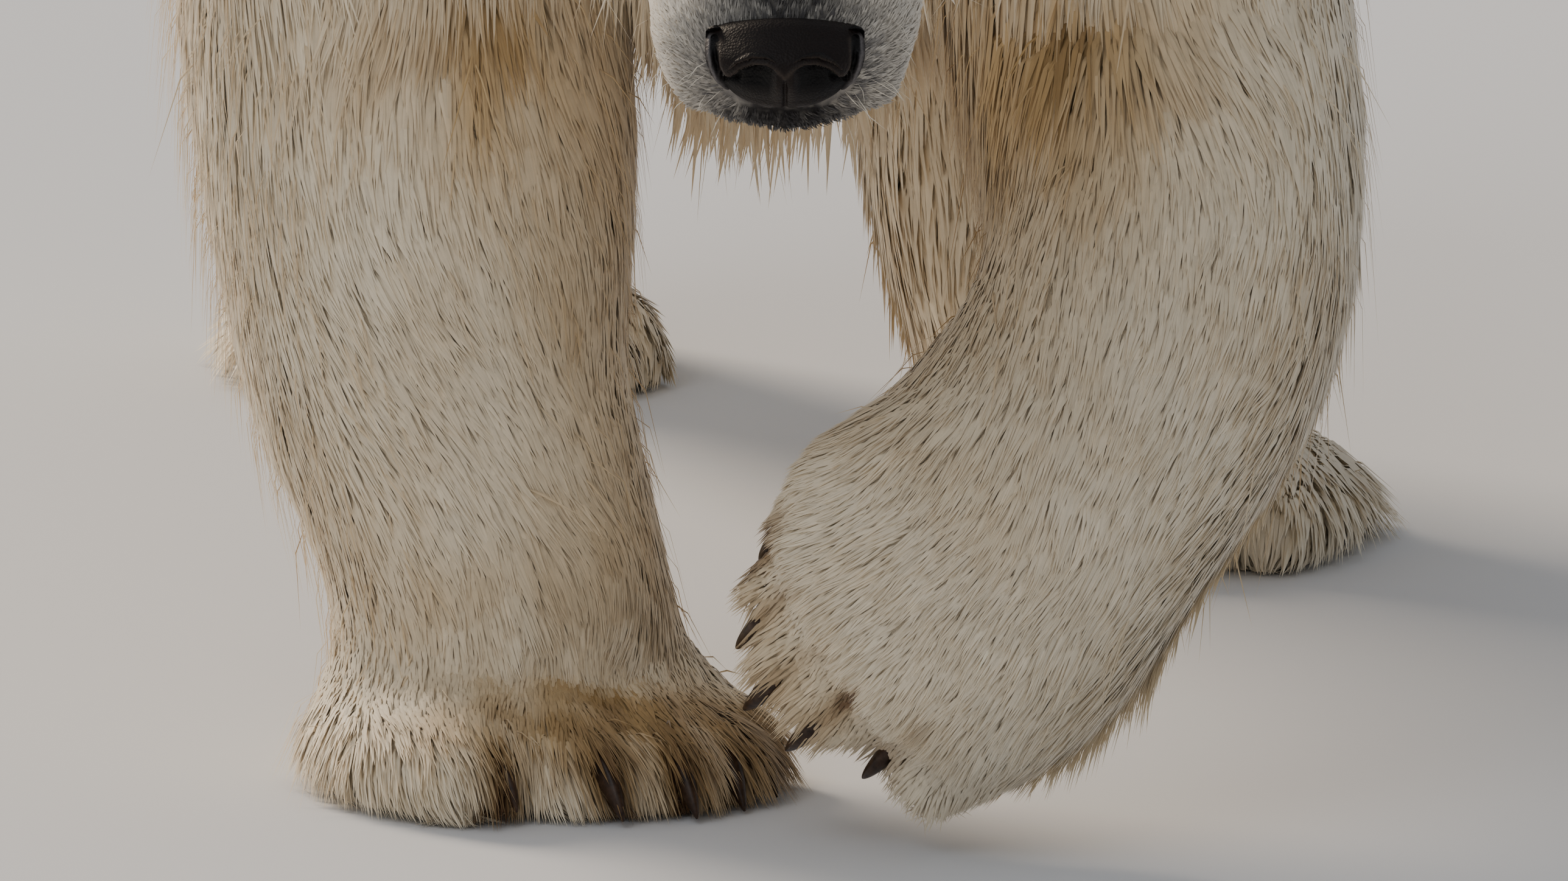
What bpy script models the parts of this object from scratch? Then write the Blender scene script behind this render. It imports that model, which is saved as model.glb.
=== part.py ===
"""Polar bear: a life-size still model of a large adult male in mid walk, its head carried low.

Metres, +Z up. The bear faces -Y and its left side is +X. It stands on three feet, and the left forepaw swings
just above the floor. Every form reaches out to the tips of the coat. The body is modelled whole from tubes and
balls that are fused into one form, and then it is parted with thin cuts into head, neck, trunk, tail and legs.
While it is built, the toes of the planted forepaw are near y = 0 and the spine is at x = 0. At the end all of
it moves so that the origin is on the floor under the middle of the whole bear.
"""

import math

import bmesh
import bpy
import numpy as np
from mathutils import Matrix, Vector

# ---- driving sizes -------------------------------------------------------------------------------------------
WITHERS = 1.28  # height of the shoulders
RUMP = 1.31  # height of the hips
TRUNK_FRONT = -0.06  # the breast
TRUNK_REAR = 1.77  # the buttocks
BELLY = 0.46  # height of the lowest long belly hair
CHEST_HALF = 0.295
BELLY_HALF = 0.335

HEAD_LENGTH = 0.44  # back of the skull to the nose
HEAD_PITCH = math.radians(22)  # muzzle below level
NOSE_TIP = Vector((0.0, -0.57, 0.532))
EYE_RADIUS = 0.0135
EYE_SPACING = 0.155
EAR_SIZE = 0.052  # half its width

FORE_PAW_WIDTH = 0.258
FORE_PAW_LENGTH = 0.288
HIND_PAW_WIDTH = 0.275
HIND_PAW_LENGTH = 0.350
FORE_CLAW = 0.056
HIND_CLAW = 0.042

GAP = 0.0003  # between neighbouring solids
BODY_VOXEL = 0.0075
BODY_TRIANGLES = 3950
BODY_SMOOTHING = 36  # passes over the trunk and the legs
FINE_SMOOTHING = 3  # passes over the paws and the face
LEFT, RIGHT = 1, -1  # the side's sign along X

COATS = {
    "body_coat": ((0.80, 0.74, 0.60, 1), 0.85),
    "head_coat": ((0.82, 0.78, 0.68, 1), 0.80),
    "paw_coat": ((0.76, 0.68, 0.52, 1), 0.85),
    "nose_skin": ((0.015, 0.013, 0.013, 1), 0.35),
    "claw_horn": ((0.05, 0.035, 0.025, 1), 0.35),
    "eye_glass": ((0.02, 0.012, 0.008, 1), 0.08),
}


# ---- scene ---------------------------------------------------------------------------------------------------
def clear_scene():
    for obj in list(bpy.data.objects):
        bpy.data.objects.remove(obj, do_unlink=True)


def new_collection(name, hidden):
    collection = bpy.data.collections.new(name)
    bpy.context.scene.collection.children.link(collection)
    collection.hide_render = hidden
    return collection


def new_object(name, mesh, collection, hidden=False):
    obj = bpy.data.objects.new(name, mesh)
    collection.objects.link(obj)
    if hidden:
        obj.hide_render = True
        obj.display_type = "WIRE"
    return obj


def material(name):
    colour, roughness = COATS[name]
    made = bpy.data.materials.get(name) or bpy.data.materials.new(name)
    made.use_nodes = True
    shader = made.node_tree.nodes["Principled BSDF"]
    shader.inputs["Base Color"].default_value = colour
    shader.inputs["Roughness"].default_value = roughness
    shader.inputs["Metallic"].default_value = 0.0
    return made


# ---- forms ---------------------------------------------------------------------------------------------------
def spline(rows, steps):
    """Rows of numbers joined by a smooth Catmull-Rom curve, with this many steps between two rows."""
    rows = np.asarray(rows, float)
    ends = np.vstack([2 * rows[0] - rows[1], rows, 2 * rows[-1] - rows[-2]])
    found = []
    for i in range(1, len(ends) - 2):
        p0, p1, p2, p3 = ends[i - 1 : i + 3]
        for t in np.arange(steps) / steps:
            square, cube = t * t, t**3
            found.append(
                0.5 * (2 * p1 + (p2 - p0) * t + (2 * p0 - 5 * p1 + 4 * p2 - p3) * square
                       + (3 * p1 - p0 - 3 * p2 + p3) * cube)
            )
    found.append(rows[-1])
    return np.array(found)


def superellipse(angle, squareness):
    """A point of a rounded section: 2 is an ellipse, and more is squarer."""
    c, s = math.cos(angle), math.sin(angle)
    power = 2 / squareness
    return math.copysign(abs(c) ** power, c), math.copysign(abs(s) ** power, s)


def tube(form, stations, side=(1, 0, 0), squareness=2.2, sides=28, steps=4, roundness=0.75, caps=(75, 50, 25)):
    """Adds a closed tube with round ends to the form. A station is (centre, half width, half height), with the
    width along side and the height square to it and to the tube. Caps are the angles of the ends' rings."""
    rows = spline([[*centre, width, height] for centre, width, height in stations], steps)
    along = np.gradient(rows[:, :3], axis=0)
    along /= np.linalg.norm(along, axis=1)[:, None]
    sections = []
    cap_angles = [math.radians(a) for a in caps]
    for row, outward, angles in ((0, -1, cap_angles), (-1, 1, cap_angles[::-1])):
        reach = roundness * min(rows[row, 3:])
        capped = [
            (rows[row, :3] + outward * along[row] * reach * math.sin(a), rows[row, 3:] * math.cos(a), along[row])
            for a in angles
        ]
        if row == 0:
            sections = capped + [(r[:3], r[3:], t) for r, t in zip(rows, along)]
        else:
            sections += capped
    rings = []
    for centre, (width, height), direction in sections:
        across = Vector(side) - Vector(side).dot(Vector(direction)) * Vector(direction)
        across.normalize()
        upward = across.cross(Vector(direction))
        ring = []
        for k in range(sides):
            x, y = superellipse(2 * math.pi * k / sides, squareness)
            ring.append(form.verts.new(Vector(centre) + across * (width * x) + upward * (height * y)))
        rings.append(ring)
    for low, high in zip(rings, rings[1:]):
        for k in range(sides):
            form.faces.new((low[k], low[(k + 1) % sides], high[(k + 1) % sides], high[k]))
    form.faces.new(rings[0][::-1])
    form.faces.new(rings[-1])


def ball(form, centre, radii, turn=None, detail=(24, 14)):
    """Adds an ellipsoid to the form, turned by a rotation matrix if one is given."""
    made = bmesh.ops.create_uvsphere(form, u_segments=detail[0], v_segments=detail[1], radius=1)
    turn = (turn or Matrix.Identity(3)).to_4x4()
    place = Matrix.Translation(centre) @ turn @ Matrix.Diagonal((*radii, 1))
    bmesh.ops.transform(form, matrix=place, verts=made["verts"])


def mesh_from(form, name):
    bmesh.ops.recalc_face_normals(form, faces=form.faces)
    mesh = bpy.data.meshes.new(name)
    form.to_mesh(mesh)
    form.free()
    return mesh


def evaluated_mesh(obj):
    graph = bpy.context.evaluated_depsgraph_get()
    return bpy.data.meshes.new_from_object(obj.evaluated_get(graph), depsgraph=graph)


def fineness(point):
    """1 on the paws and the face, which keep their small forms, 0 on the rest of the body."""
    nearest = min(
        [(point - paw.at(0.6 * paw.length, 0, 0.04)).length / (0.62 * paw.length) for paw in PAWS]
        + [(point - in_head(0, 0.12, 0)).length / 0.20]
    )
    return min(max(1.5 - nearest, 0) / 0.5, 1)


def fused(mesh, name, collection):
    """One closed surface round all the overlapping forms of a mesh, smoothed and thinned to BODY_TRIANGLES."""
    obj = new_object(name, mesh, collection, hidden=True)
    remesh = obj.modifiers.new("fuse", "REMESH")
    remesh.mode = "VOXEL"
    remesh.voxel_size = BODY_VOXEL
    obj.data = evaluated_mesh(obj)
    obj.modifiers.clear()
    plain = obj.vertex_groups.new(name="plain")
    for vert in obj.data.vertices:
        plain.add([vert.index], 1 - fineness(vert.co), "REPLACE")
    for passes, group in ((FINE_SMOOTHING, ""), (BODY_SMOOTHING, "plain")):
        soften = obj.modifiers.new("soften", "SMOOTH")
        soften.factor = 0.5
        soften.iterations = passes
        soften.vertex_group = group
    split = obj.modifiers.new("triangles", "TRIANGULATE")
    split.keep_custom_normals = False
    thin = obj.modifiers.new("thin", "DECIMATE")
    thin.ratio = BODY_TRIANGLES / (2 * len(obj.data.polygons))
    obj.data = evaluated_mesh(obj)
    obj.modifiers.clear()
    return obj


# ---- trunk, neck and tail ------------------------------------------------------------------------------------
def add_trunk(form):
    """A barrel of upright sections: (y, lowest, highest, half width)."""
    sections = (
        (TRUNK_FRONT, 0.62, 0.90, 0.15),
        (0.03, 0.53, 1.03, 0.235),
        (0.16, BELLY, WITHERS - 0.10, CHEST_HALF - 0.015),
        (0.34, BELLY - 0.02, WITHERS, CHEST_HALF),
        (0.58, BELLY, WITHERS - 0.020, CHEST_HALF + 0.005),
        (0.84, BELLY + 0.01, WITHERS - 0.020, BELLY_HALF - 0.015),
        (1.08, BELLY + 0.04, RUMP - 0.025, BELLY_HALF),
        (1.32, BELLY + 0.10, RUMP, BELLY_HALF - 0.01),
        (1.52, BELLY + 0.17, RUMP - 0.05, BELLY_HALF - 0.05),
        (1.66, BELLY + 0.26, RUMP - 0.15, BELLY_HALF - 0.12),
        (TRUNK_REAR - 0.02, BELLY + 0.36, RUMP - 0.31, BELLY_HALF - 0.22),
    )
    tube(
        form,
        [((0, y, (low + high) / 2), half, (high - low) / 2) for y, low, high, half in sections],
        squareness=2.3,
        sides=44,
        roundness=0.35,
    )
    for sign in (LEFT, RIGHT):
        # shoulder blade and the flesh over it
        ball(form, (sign * 0.135, 0.30, 1.00), (0.145, 0.23, 0.25), Matrix.Rotation(0.25, 3, "X"))
        # haunch
        ball(form, (sign * 0.17, 1.42, 0.90), (0.165, 0.30, 0.32), Matrix.Rotation(-0.15, 3, "X"))


def add_neck(form):
    tube(
        form,
        [
            ((0, 0.36, 0.99), 0.235, 0.275),
            ((0, 0.20, 0.93), 0.220, 0.260),
            ((0, 0.05, 0.855), 0.192, 0.228),
            ((0, -0.09, 0.775), 0.165, 0.192),
            ((0, -0.20, 0.715), 0.140, 0.158),
        ],
        squareness=2.1,
        sides=36,
    )


def add_tail(form):
    tube(
        form,
        [((0, 1.66, 1.03), 0.075, 0.06), ((0, 1.765, 0.965), 0.058, 0.042), ((0, 1.795, 0.885), 0.042, 0.032)],
        sides=18,
    )


# ---- head ----------------------------------------------------------------------------------------------------
def head_place():
    """From the head's own axes to the bear's: x to its left, y from the nose backwards, z up square to the
    muzzle, with the nose's tip at y = 0."""
    return Matrix.Translation(NOSE_TIP) @ Matrix.Rotation(HEAD_PITCH, 4, "X")


def in_head(x, back, up):
    return head_place() @ Vector((x, back, up))


def add_head(form):
    sections = (
        (0.024, -0.008, 0.052, 0.033),
        (0.038, -0.009, 0.067, 0.044),
        (0.070, -0.008, 0.0765, 0.055),
        (0.115, -0.006, 0.0790, 0.066),
        (0.165, 0.001, 0.087, 0.079),
        (0.220, 0.008, 0.108, 0.098),
        (0.285, 0.012, 0.134, 0.119),
        (0.350, 0.012, 0.146, 0.136),
        (HEAD_LENGTH - 0.02, 0.004, 0.143, 0.145),
    )
    tube(form, [(in_head(0, back, up), half, tall) for back, up, half, tall in sections], sides=36)
    for sign in (LEFT, RIGHT):
        turn = Matrix.Rotation(HEAD_PITCH, 3, "X")
        ball(form, in_head(sign * 0.085, 0.315, -0.040), (0.068, 0.105, 0.082), turn)  # cheek
        ball(form, in_head(sign * 0.050, 0.232, 0.062), (0.040, 0.055, 0.036), turn)  # brow
        ball(form, in_head(sign * 0.040, 0.070, -0.018), (0.032, 0.058, 0.038), turn)  # lip


def eye_centre(sign):
    return in_head(sign * EYE_SPACING / 2, 0.196, 0.056)


# ---- legs ----------------------------------------------------------------------------------------------------
class Paw:
    """A paw in its own axes: forward from the heel, to the bear's left, and up from the sole. The toes turn in,
    so toe 1, the innermost, lies furthest back."""

    TOE_SIDE = (-0.390, -0.255, -0.110, 0.065, 0.285)  # outwards, in paw widths
    TOE_REACH = (0.825, 0.930, 0.985, 0.970, 0.890)  # in paw lengths
    TOE_RADIUS = (0.112, 0.122, 0.126, 0.130, 0.142)  # in paw widths

    def __init__(self, name, side, heel, forward, up, width, length, claw, height, spread=1.0, tuck=(0,) * 5):
        self.name, self.side, self.width, self.length, self.claw = name, side, width, length, claw
        self.height, self.spread, self.tuck = height, spread, tuck
        forward, up = Vector(forward).normalized(), Vector(up).normalized()
        left = up.cross(forward).normalized()
        up = forward.cross(left)
        turn = Matrix((forward, left, up)).transposed()
        self.place = Matrix.Translation(heel) @ turn.to_4x4()

    def at(self, forward, left, up):
        return self.place @ Vector((forward, left, up))

    def toe(self, number):
        """(knuckle, tip, radius) of a toe, with the knuckle and the tip as (forward, left)."""
        outward = self.TOE_SIDE[number - 1] * self.width * self.spread
        reach = (self.TOE_REACH[number - 1] - self.tuck[number - 1]) * self.length
        radius = self.TOE_RADIUS[number - 1] * self.width
        return (0.56 * self.length, self.side * outward * 0.86), (reach - radius, self.side * outward), radius

    def add(self, form):
        across = self.place.to_3x3() @ Vector((0, 1, 0))
        half, tall = self.width / 2, self.height / 2
        stations = (
            (0.16, 0.60, 0.86),
            (0.34, 0.78, 1.0),
            (0.52, 0.86, 0.92),
            (0.66, 0.80, 0.70),
        )
        tube(
            form,
            [(self.at(f * self.length, 0, tall * t - 0.01), half * w, tall * t) for f, w, t in stations],
            side=across,
            squareness=2.6,
            sides=24,
        )
        # the fringe along the outer edge
        edge = [
            (self.at(f * self.length, self.side * w * self.width * self.spread**0.6, 0.030), 0.034 * t, 0.036 * t)
            for f, w, t in ((0.24, 0.36, 0.9), (0.45, 0.46, 1.0), (0.66, 0.46, 0.95), (0.85, 0.38, 0.85))
        ]
        tube(form, edge, side=across, sides=14)
        for number in range(1, 6):
            (knuckle_at, knuckle_side), (tip_at, tip_side), radius = self.toe(number)
            tube(
                form,
                [
                    (self.at(knuckle_at, knuckle_side, radius * 1.18), radius * 0.95, radius * 1.05),
                    (self.at((knuckle_at + tip_at) / 2, (knuckle_side + tip_side) / 2, radius * 1.22),
                     radius, radius * 1.02),
                    (self.at(tip_at, tip_side, radius * 0.86), radius, radius * 0.95),
                ],
                side=across,
                squareness=2.1,
                sides=16,
                roundness=0.95,
            )

    def claw_mesh(self, number):
        """A curved, tapering claw that leaves the top of the toe's end and points forward and down."""
        _, (tip_at, tip_side), radius = self.toe(number)
        length = self.claw * (0.92, 1.0, 1.0, 1.0, 0.94)[number - 1]
        thick = 0.0080 * self.claw / FORE_CLAW
        points = []
        for t in np.linspace(0, 1, 4):
            reach = tip_at + radius * 0.62 + length * 0.62 * math.sin(math.radians(90 * t))
            drop = radius * 1.12 - length * 0.72 * (1 - math.cos(math.radians(80 * t)))
            points.append((self.at(reach, tip_side, drop), thick * (1 - t) ** 0.6 + 0.0012))
        form = bmesh.new()
        across = self.place.to_3x3() @ Vector((0, 1, 0))
        tube(form, [(p, r, r * 1.3) for p, r in points], side=across, squareness=2, sides=5, steps=1, caps=())
        return mesh_from(form, "claw")


PLANTED = Paw(
    "fore_right", RIGHT, heel=(-0.203, 0.270, 0), forward=(0.407, -0.913, 0), up=(0, 0, 1),
    width=FORE_PAW_WIDTH, length=FORE_PAW_LENGTH, claw=FORE_CLAW, height=0.125,
)
SWINGING = Paw(
    "fore_left", LEFT, heel=(0.200, -0.040, 0.276), forward=(-0.70, -0.04, -0.71), up=(-0.05, -1, 0.05),
    width=FORE_PAW_WIDTH * 0.97, length=FORE_PAW_LENGTH, claw=FORE_CLAW, height=0.118, spread=0.78,
    tuck=(0.110, 0.060, 0.035, 0.020, 0.0),
)
HIND_BACK = Paw(
    "hind_right", RIGHT, heel=(-0.240, 1.755, 0), forward=(0.12, -1, 0), up=(0, 0, 1),
    width=HIND_PAW_WIDTH, length=HIND_PAW_LENGTH, claw=HIND_CLAW, height=0.115,
)
HIND_AHEAD = Paw(
    "hind_left", LEFT, heel=(0.238, 1.135, 0), forward=(-0.12, -1, 0), up=(0, 0, 1),
    width=HIND_PAW_WIDTH, length=HIND_PAW_LENGTH, claw=HIND_CLAW, height=0.115,
)
PAWS = (SWINGING, PLANTED, HIND_BACK, HIND_AHEAD)

# A leg's sections from the paw up: (x, y, z), half width, half depth.
LEG_SECTIONS = {
    "fore_right": (
        ((-0.166, 0.165, 0.055), 0.110, 0.105),
        ((-0.169, 0.170, 0.110), 0.104, 0.098),
        ((-0.188, 0.185, 0.180), 0.108, 0.105),
        ((-0.209, 0.205, 0.250), 0.120, 0.120),
        ((-0.218, 0.225, 0.357), 0.134, 0.144),
        ((-0.225, 0.235, 0.468), 0.142, 0.170),
        ((-0.218, 0.215, 0.620), 0.143, 0.196),
        ((-0.190, 0.200, 0.790), 0.142, 0.215),
        ((-0.150, 0.245, 0.960), 0.120, 0.200),
    ),
    "fore_left": (
        ((0.063, -0.105, 0.125), 0.098, 0.050),
        ((0.109, -0.100, 0.164), 0.117, 0.062),
        ((0.163, -0.080, 0.227), 0.111, 0.076),
        ((0.217, -0.035, 0.303), 0.112, 0.098),
        ((0.232, 0.030, 0.400), 0.112, 0.130),
        ((0.215, 0.080, 0.510), 0.120, 0.165),
        ((0.198, 0.090, 0.640), 0.138, 0.192),
        ((0.182, 0.140, 0.800), 0.144, 0.208),
        ((0.150, 0.225, 0.960), 0.122, 0.200),
    ),
    "hind_right": (
        ((-0.238, 1.660, 0.060), 0.100, 0.105),
        ((-0.240, 1.665, 0.140), 0.105, 0.105),
        ((-0.236, 1.625, 0.250), 0.118, 0.130),
        ((-0.228, 1.570, 0.390), 0.130, 0.168),
        ((-0.218, 1.520, 0.540), 0.142, 0.215),
        ((-0.200, 1.480, 0.720), 0.148, 0.265),
        ((-0.180, 1.450, 0.900), 0.146, 0.275),
    ),
    "hind_left": (
        ((0.222, 1.030, 0.060), 0.110, 0.105),
        ((0.200, 1.045, 0.140), 0.130, 0.105),
        ((0.188, 1.075, 0.260), 0.150, 0.130),
        ((0.196, 1.125, 0.390), 0.154, 0.165),
        ((0.208, 1.200, 0.540), 0.146, 0.215),
        ((0.200, 1.310, 0.720), 0.148, 0.265),
        ((0.180, 1.400, 0.900), 0.146, 0.275),
    ),
}


def add_legs(form):
    for paw in PAWS:
        paw.add(form)
        stations = LEG_SECTIONS[paw.name]
        tube(form, [(centre, half, deep) for centre, half, deep in stations], squareness=2.15, sides=32)


# ---- parting the body ----------------------------------------------------------------------------------------
class Region:
    """A box that takes one named node out of the body: where it starts, which way it runs, and its size."""

    def __init__(self, name, start, along, length, across, upward, side=(1, 0, 0)):
        self.name = name
        along = Vector(along).normalized()
        side = Vector(side)
        side = (side - side.dot(along) * along).normalized()
        turn = Matrix((side, along.cross(side), along)).transposed()
        self.lows = (across[0], upward[0], 0)
        self.highs = (across[1], upward[1], length)
        self.place = Matrix.Translation(start) @ turn.to_4x4()

    def cutter(self, grow, collection):
        form = bmesh.new()
        bmesh.ops.create_cube(form, size=1)
        sizes = [high - low + 2 * grow for low, high in zip(self.lows, self.highs)]
        middle = [(high + low) / 2 for low, high in zip(self.lows, self.highs)]
        shape = Matrix.Translation(middle) @ Matrix.Diagonal((*sizes, 1))
        bmesh.ops.transform(form, matrix=self.place @ shape, verts=form.verts)
        return new_object(f"cutter_{self.name}", mesh_from(form, self.name), collection, hidden=True)


def leg_regions(name, wrist, elbow, top, inner, front, rear, across=(-0.25, 0.25), ahead=0.5):
    """The three regions of a leg, from the paw up. Wrist and elbow are (point, direction towards the paw), and
    the leg parts from the trunk at x = inner, between y = front and rear, below z = top."""
    paw_word, low_word, high_word = NODE_WORDS[name.split("_")[0]]
    width = (0.0, 0.6) if inner > 0 else (-0.6, 0.0)
    return [
        Region(f"{name}_{paw_word}", wrist[0], wrist[1], 0.6, across, (-0.5, ahead)),
        Region(f"{name}_{low_word}", elbow[0], elbow[1], 0.6, across, (-0.5, ahead)),
        Region(f"{name}_{high_word}", (inner, 0, top), (0, 0, -1), top - 0.2, width, (-rear, -front)),
    ]


NODE_WORDS = {"fore": ("paw", "forearm", "upper_arm"), "hind": ("foot", "shank", "thigh")}


def body_regions():
    """In the order in which they are taken from the body. What is left at the end is the trunk."""
    regions = []
    regions += leg_regions(
        "fore_right", ((-0.17, 0.15, 0.130), (0, 0, -1)), ((-0.22, 0.20, 0.440), (0, 0, -1)),
        top=0.88, inner=-0.180, front=-0.2, rear=0.46, across=(-0.25, 0.19), ahead=0.185,
    )
    regions += leg_regions(
        "fore_left", ((0.195, -0.06, 0.250), (-0.70, -0.10, -0.70)), ((0.22, 0.05, 0.440), (0, -0.30, -1)),
        top=0.88, inner=0.180, front=-0.2, rear=0.40, ahead=0.26,
    )
    regions += leg_regions(
        "hind_right", ((-0.24, 1.63, 0.130), (0, 0, -1)), ((-0.23, 1.55, 0.42), (0, 0.2, -1)),
        top=1.00, inner=-0.150, front=1.16, rear=1.95,
    )
    regions += leg_regions(
        "hind_left", ((0.22, 1.03, 0.130), (0, 0, -1)), ((0.21, 1.12, 0.42), (0, 0, -1)),
        top=1.00, inner=0.150, front=1.00, rear=1.95,
    )
    regions.append(Region("tail", (0, 1.705, 0.99), (0, 0.85, -0.5), 0.4, (-0.1, 0.1), (-0.12, 0.12)))
    regions.append(Region("head", in_head(0, 0.415, 0), (0, -0.90, -0.43), 0.7, (-0.3, 0.3), (-0.5, 0.5)))
    regions.append(Region("neck", (0, 0.065, 0.88), (0, -0.894, 0.447), 0.7, (-0.5, 0.5), (-0.5, 0.5)))
    return regions


def boolean(obj, cutter, operation):
    """Does a Boolean and keeps its result as the object's mesh."""
    modifier = obj.modifiers.new(operation.lower(), "BOOLEAN")
    modifier.operation = operation
    modifier.object = cutter
    obj.data = evaluated_mesh(obj)
    obj.modifiers.clear()


def part_body(body, part_collection, cutters):
    """Takes each region's node out of the body, and returns the nodes by name."""
    nodes = {}
    for region in body_regions():
        piece = new_object(region.name, body.data.copy(), part_collection)
        inner = region.cutter(0, cutters)
        boolean(piece, inner, "INTERSECT")
        outer = region.cutter(GAP, cutters)
        boolean(body, outer, "DIFFERENCE")
        bpy.data.objects.remove(inner)
        bpy.data.objects.remove(outer)
        nodes[region.name] = piece
    body.name = "trunk"
    nodes["trunk"] = body
    return nodes


# ---- eyes, ears, nose and claws ------------------------------------------------------------------------------
def add_eye(name, sign, head, part_collection, cutters):
    """An eyeball in a socket that is a gap wider than it."""
    for grow in (GAP, 0):
        form = bmesh.new()
        bmesh.ops.create_icosphere(form, subdivisions=2, radius=EYE_RADIUS + grow)
        bmesh.ops.translate(form, vec=eye_centre(sign), verts=form.verts)
        if grow:
            socket = new_object("socket", mesh_from(form, "socket"), cutters, hidden=True)
            boolean(head, socket, "DIFFERENCE")
            bpy.data.objects.remove(socket)
        else:
            return new_object(name, mesh_from(form, name), part_collection)


def add_ear(name, sign, grown_body, part_collection, cutters):
    """A small round ear: a thick furred disc with a hollow in front, its foot cut to the head."""
    turn = (
        Matrix.Rotation(HEAD_PITCH, 3, "X")
        @ Matrix.Rotation(sign * math.radians(28), 3, "Z")
        @ Matrix.Rotation(sign * math.radians(24), 3, "Y")
        @ Matrix.Rotation(math.radians(-12), 3, "X")
    )
    centre = in_head(sign * 0.112, 0.352, 0.128)
    form = bmesh.new()
    ball(form, centre, (EAR_SIZE, 0.024, EAR_SIZE * 1.12), turn, detail=(12, 7))
    ear = new_object(name, mesh_from(form, name), part_collection)
    form = bmesh.new()
    dent = centre + turn @ Vector((0, -0.026, 0.008))
    ball(form, dent, (EAR_SIZE * 0.62, 0.022, EAR_SIZE * 0.68), turn, detail=(10, 6))
    hollow = new_object("hollow", mesh_from(form, "hollow"), cutters, hidden=True)
    boolean(ear, hollow, "DIFFERENCE")
    bpy.data.objects.remove(hollow)
    boolean(ear, grown_body, "DIFFERENCE")
    return ear


def add_nose(grown_body, part_collection, cutters):
    """The bare nose: a broad rounded pad with two nostrils, let into the end of the muzzle."""
    turn = Matrix.Rotation(HEAD_PITCH, 3, "X")
    form = bmesh.new()
    across = Vector((1, 0, 0))
    stations = ((-0.008, -0.003, 0.030, 0.013), (0.002, 0.000, 0.041, 0.019), (0.018, 0.004, 0.044, 0.023),
                (0.036, 0.008, 0.040, 0.024))
    tube(
        form,
        [(in_head(0, back, up), half, tall) for back, up, half, tall in stations],
        side=across, squareness=2.6, sides=14, steps=1, caps=(50,),
    )
    nose = new_object("nose", mesh_from(form, "nose"), part_collection)
    for sign in (LEFT, RIGHT):
        form = bmesh.new()
        ball(form, in_head(sign * 0.0215, -0.017, -0.005), (0.0115, 0.012, 0.0075), turn, detail=(8, 5))
        nostril = new_object("nostril", mesh_from(form, "nostril"), cutters, hidden=True)
        boolean(nose, nostril, "DIFFERENCE")
        bpy.data.objects.remove(nostril)
    boolean(nose, grown_body, "DIFFERENCE")
    return nose


def add_claws(grown_body, part_collection):
    claws = {}
    for paw in PAWS:
        for number in range(1, 6):
            name = f"claw_{paw.name}_{number}"
            claw = new_object(name, paw.claw_mesh(number), part_collection)
            boolean(claw, grown_body, "DIFFERENCE")
            claws[name] = claw
    return claws


# ---- finish --------------------------------------------------------------------------------------------------
def largest_body(obj):
    """Drops the crumbs that a cut leaves beside a node's one body."""
    form = bmesh.new()
    form.from_mesh(obj.data)
    left = set(form.verts)
    groups = []
    while left:
        stack = [left.pop()]
        group = set(stack)
        while stack:
            for edge in stack.pop().link_edges:
                for vert in edge.verts:
                    if vert in left:
                        left.discard(vert)
                        group.add(vert)
                        stack.append(vert)
        groups.append(group)
    groups.sort(key=len)
    crumbs = [vert for group in groups[:-1] for vert in group]
    bmesh.ops.delete(form, geom=crumbs, context="VERTS")
    form.to_mesh(obj.data)
    form.free()


def coat_for(name):
    if name.startswith("claw"):
        return "claw_horn"
    if name.startswith("eye"):
        return "eye_glass"
    if name == "nose":
        return "nose_skin"
    if name.startswith(("head", "ear")):
        return "head_coat"
    return "paw_coat" if name.endswith(("paw", "foot")) else "body_coat"


def dress(nodes):
    for name, obj in nodes.items():
        obj.data.materials.clear()
        obj.data.materials.append(material(coat_for(name)))
        obj.data.shade_smooth()
        obj.data.set_sharp_from_angle(angle=math.radians(35))


def centre_on_floor(nodes):
    """Moves everything so that the origin is under the middle of the whole bear."""
    corners = np.array([vert.co for obj in nodes.values() for vert in obj.data.vertices])
    middle = (corners.min(0) + corners.max(0)) / 2
    for obj in nodes.values():
        obj.data.transform(Matrix.Translation((-middle[0], -middle[1], 0)))


def flat_floor(obj):
    """Cuts the soles flat at z = 0."""
    form = bmesh.new()
    form.from_mesh(obj.data)
    geometry = form.verts[:] + form.edges[:] + form.faces[:]
    cut = bmesh.ops.bisect_plane(
        form, geom=geometry, dist=1e-6, plane_co=(0, 0, 0), plane_no=(0, 0, -1), clear_outer=True
    )
    edges = [item for item in cut["geom_cut"] if isinstance(item, bmesh.types.BMEdge)]
    bmesh.ops.holes_fill(form, edges=edges)
    bmesh.ops.triangulate(form, faces=form.faces)
    form.to_mesh(obj.data)
    form.free()


def grown_copy(obj, collection):
    """The body made a gap larger, so that what grows from it ends a gap short of it."""
    grown = new_object("grown_body", obj.data.copy(), collection, hidden=True)
    swell = grown.modifiers.new("swell", "DISPLACE")
    swell.mid_level = 0.0
    swell.strength = GAP
    grown.data = evaluated_mesh(grown)
    grown.modifiers.clear()
    return grown


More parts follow.
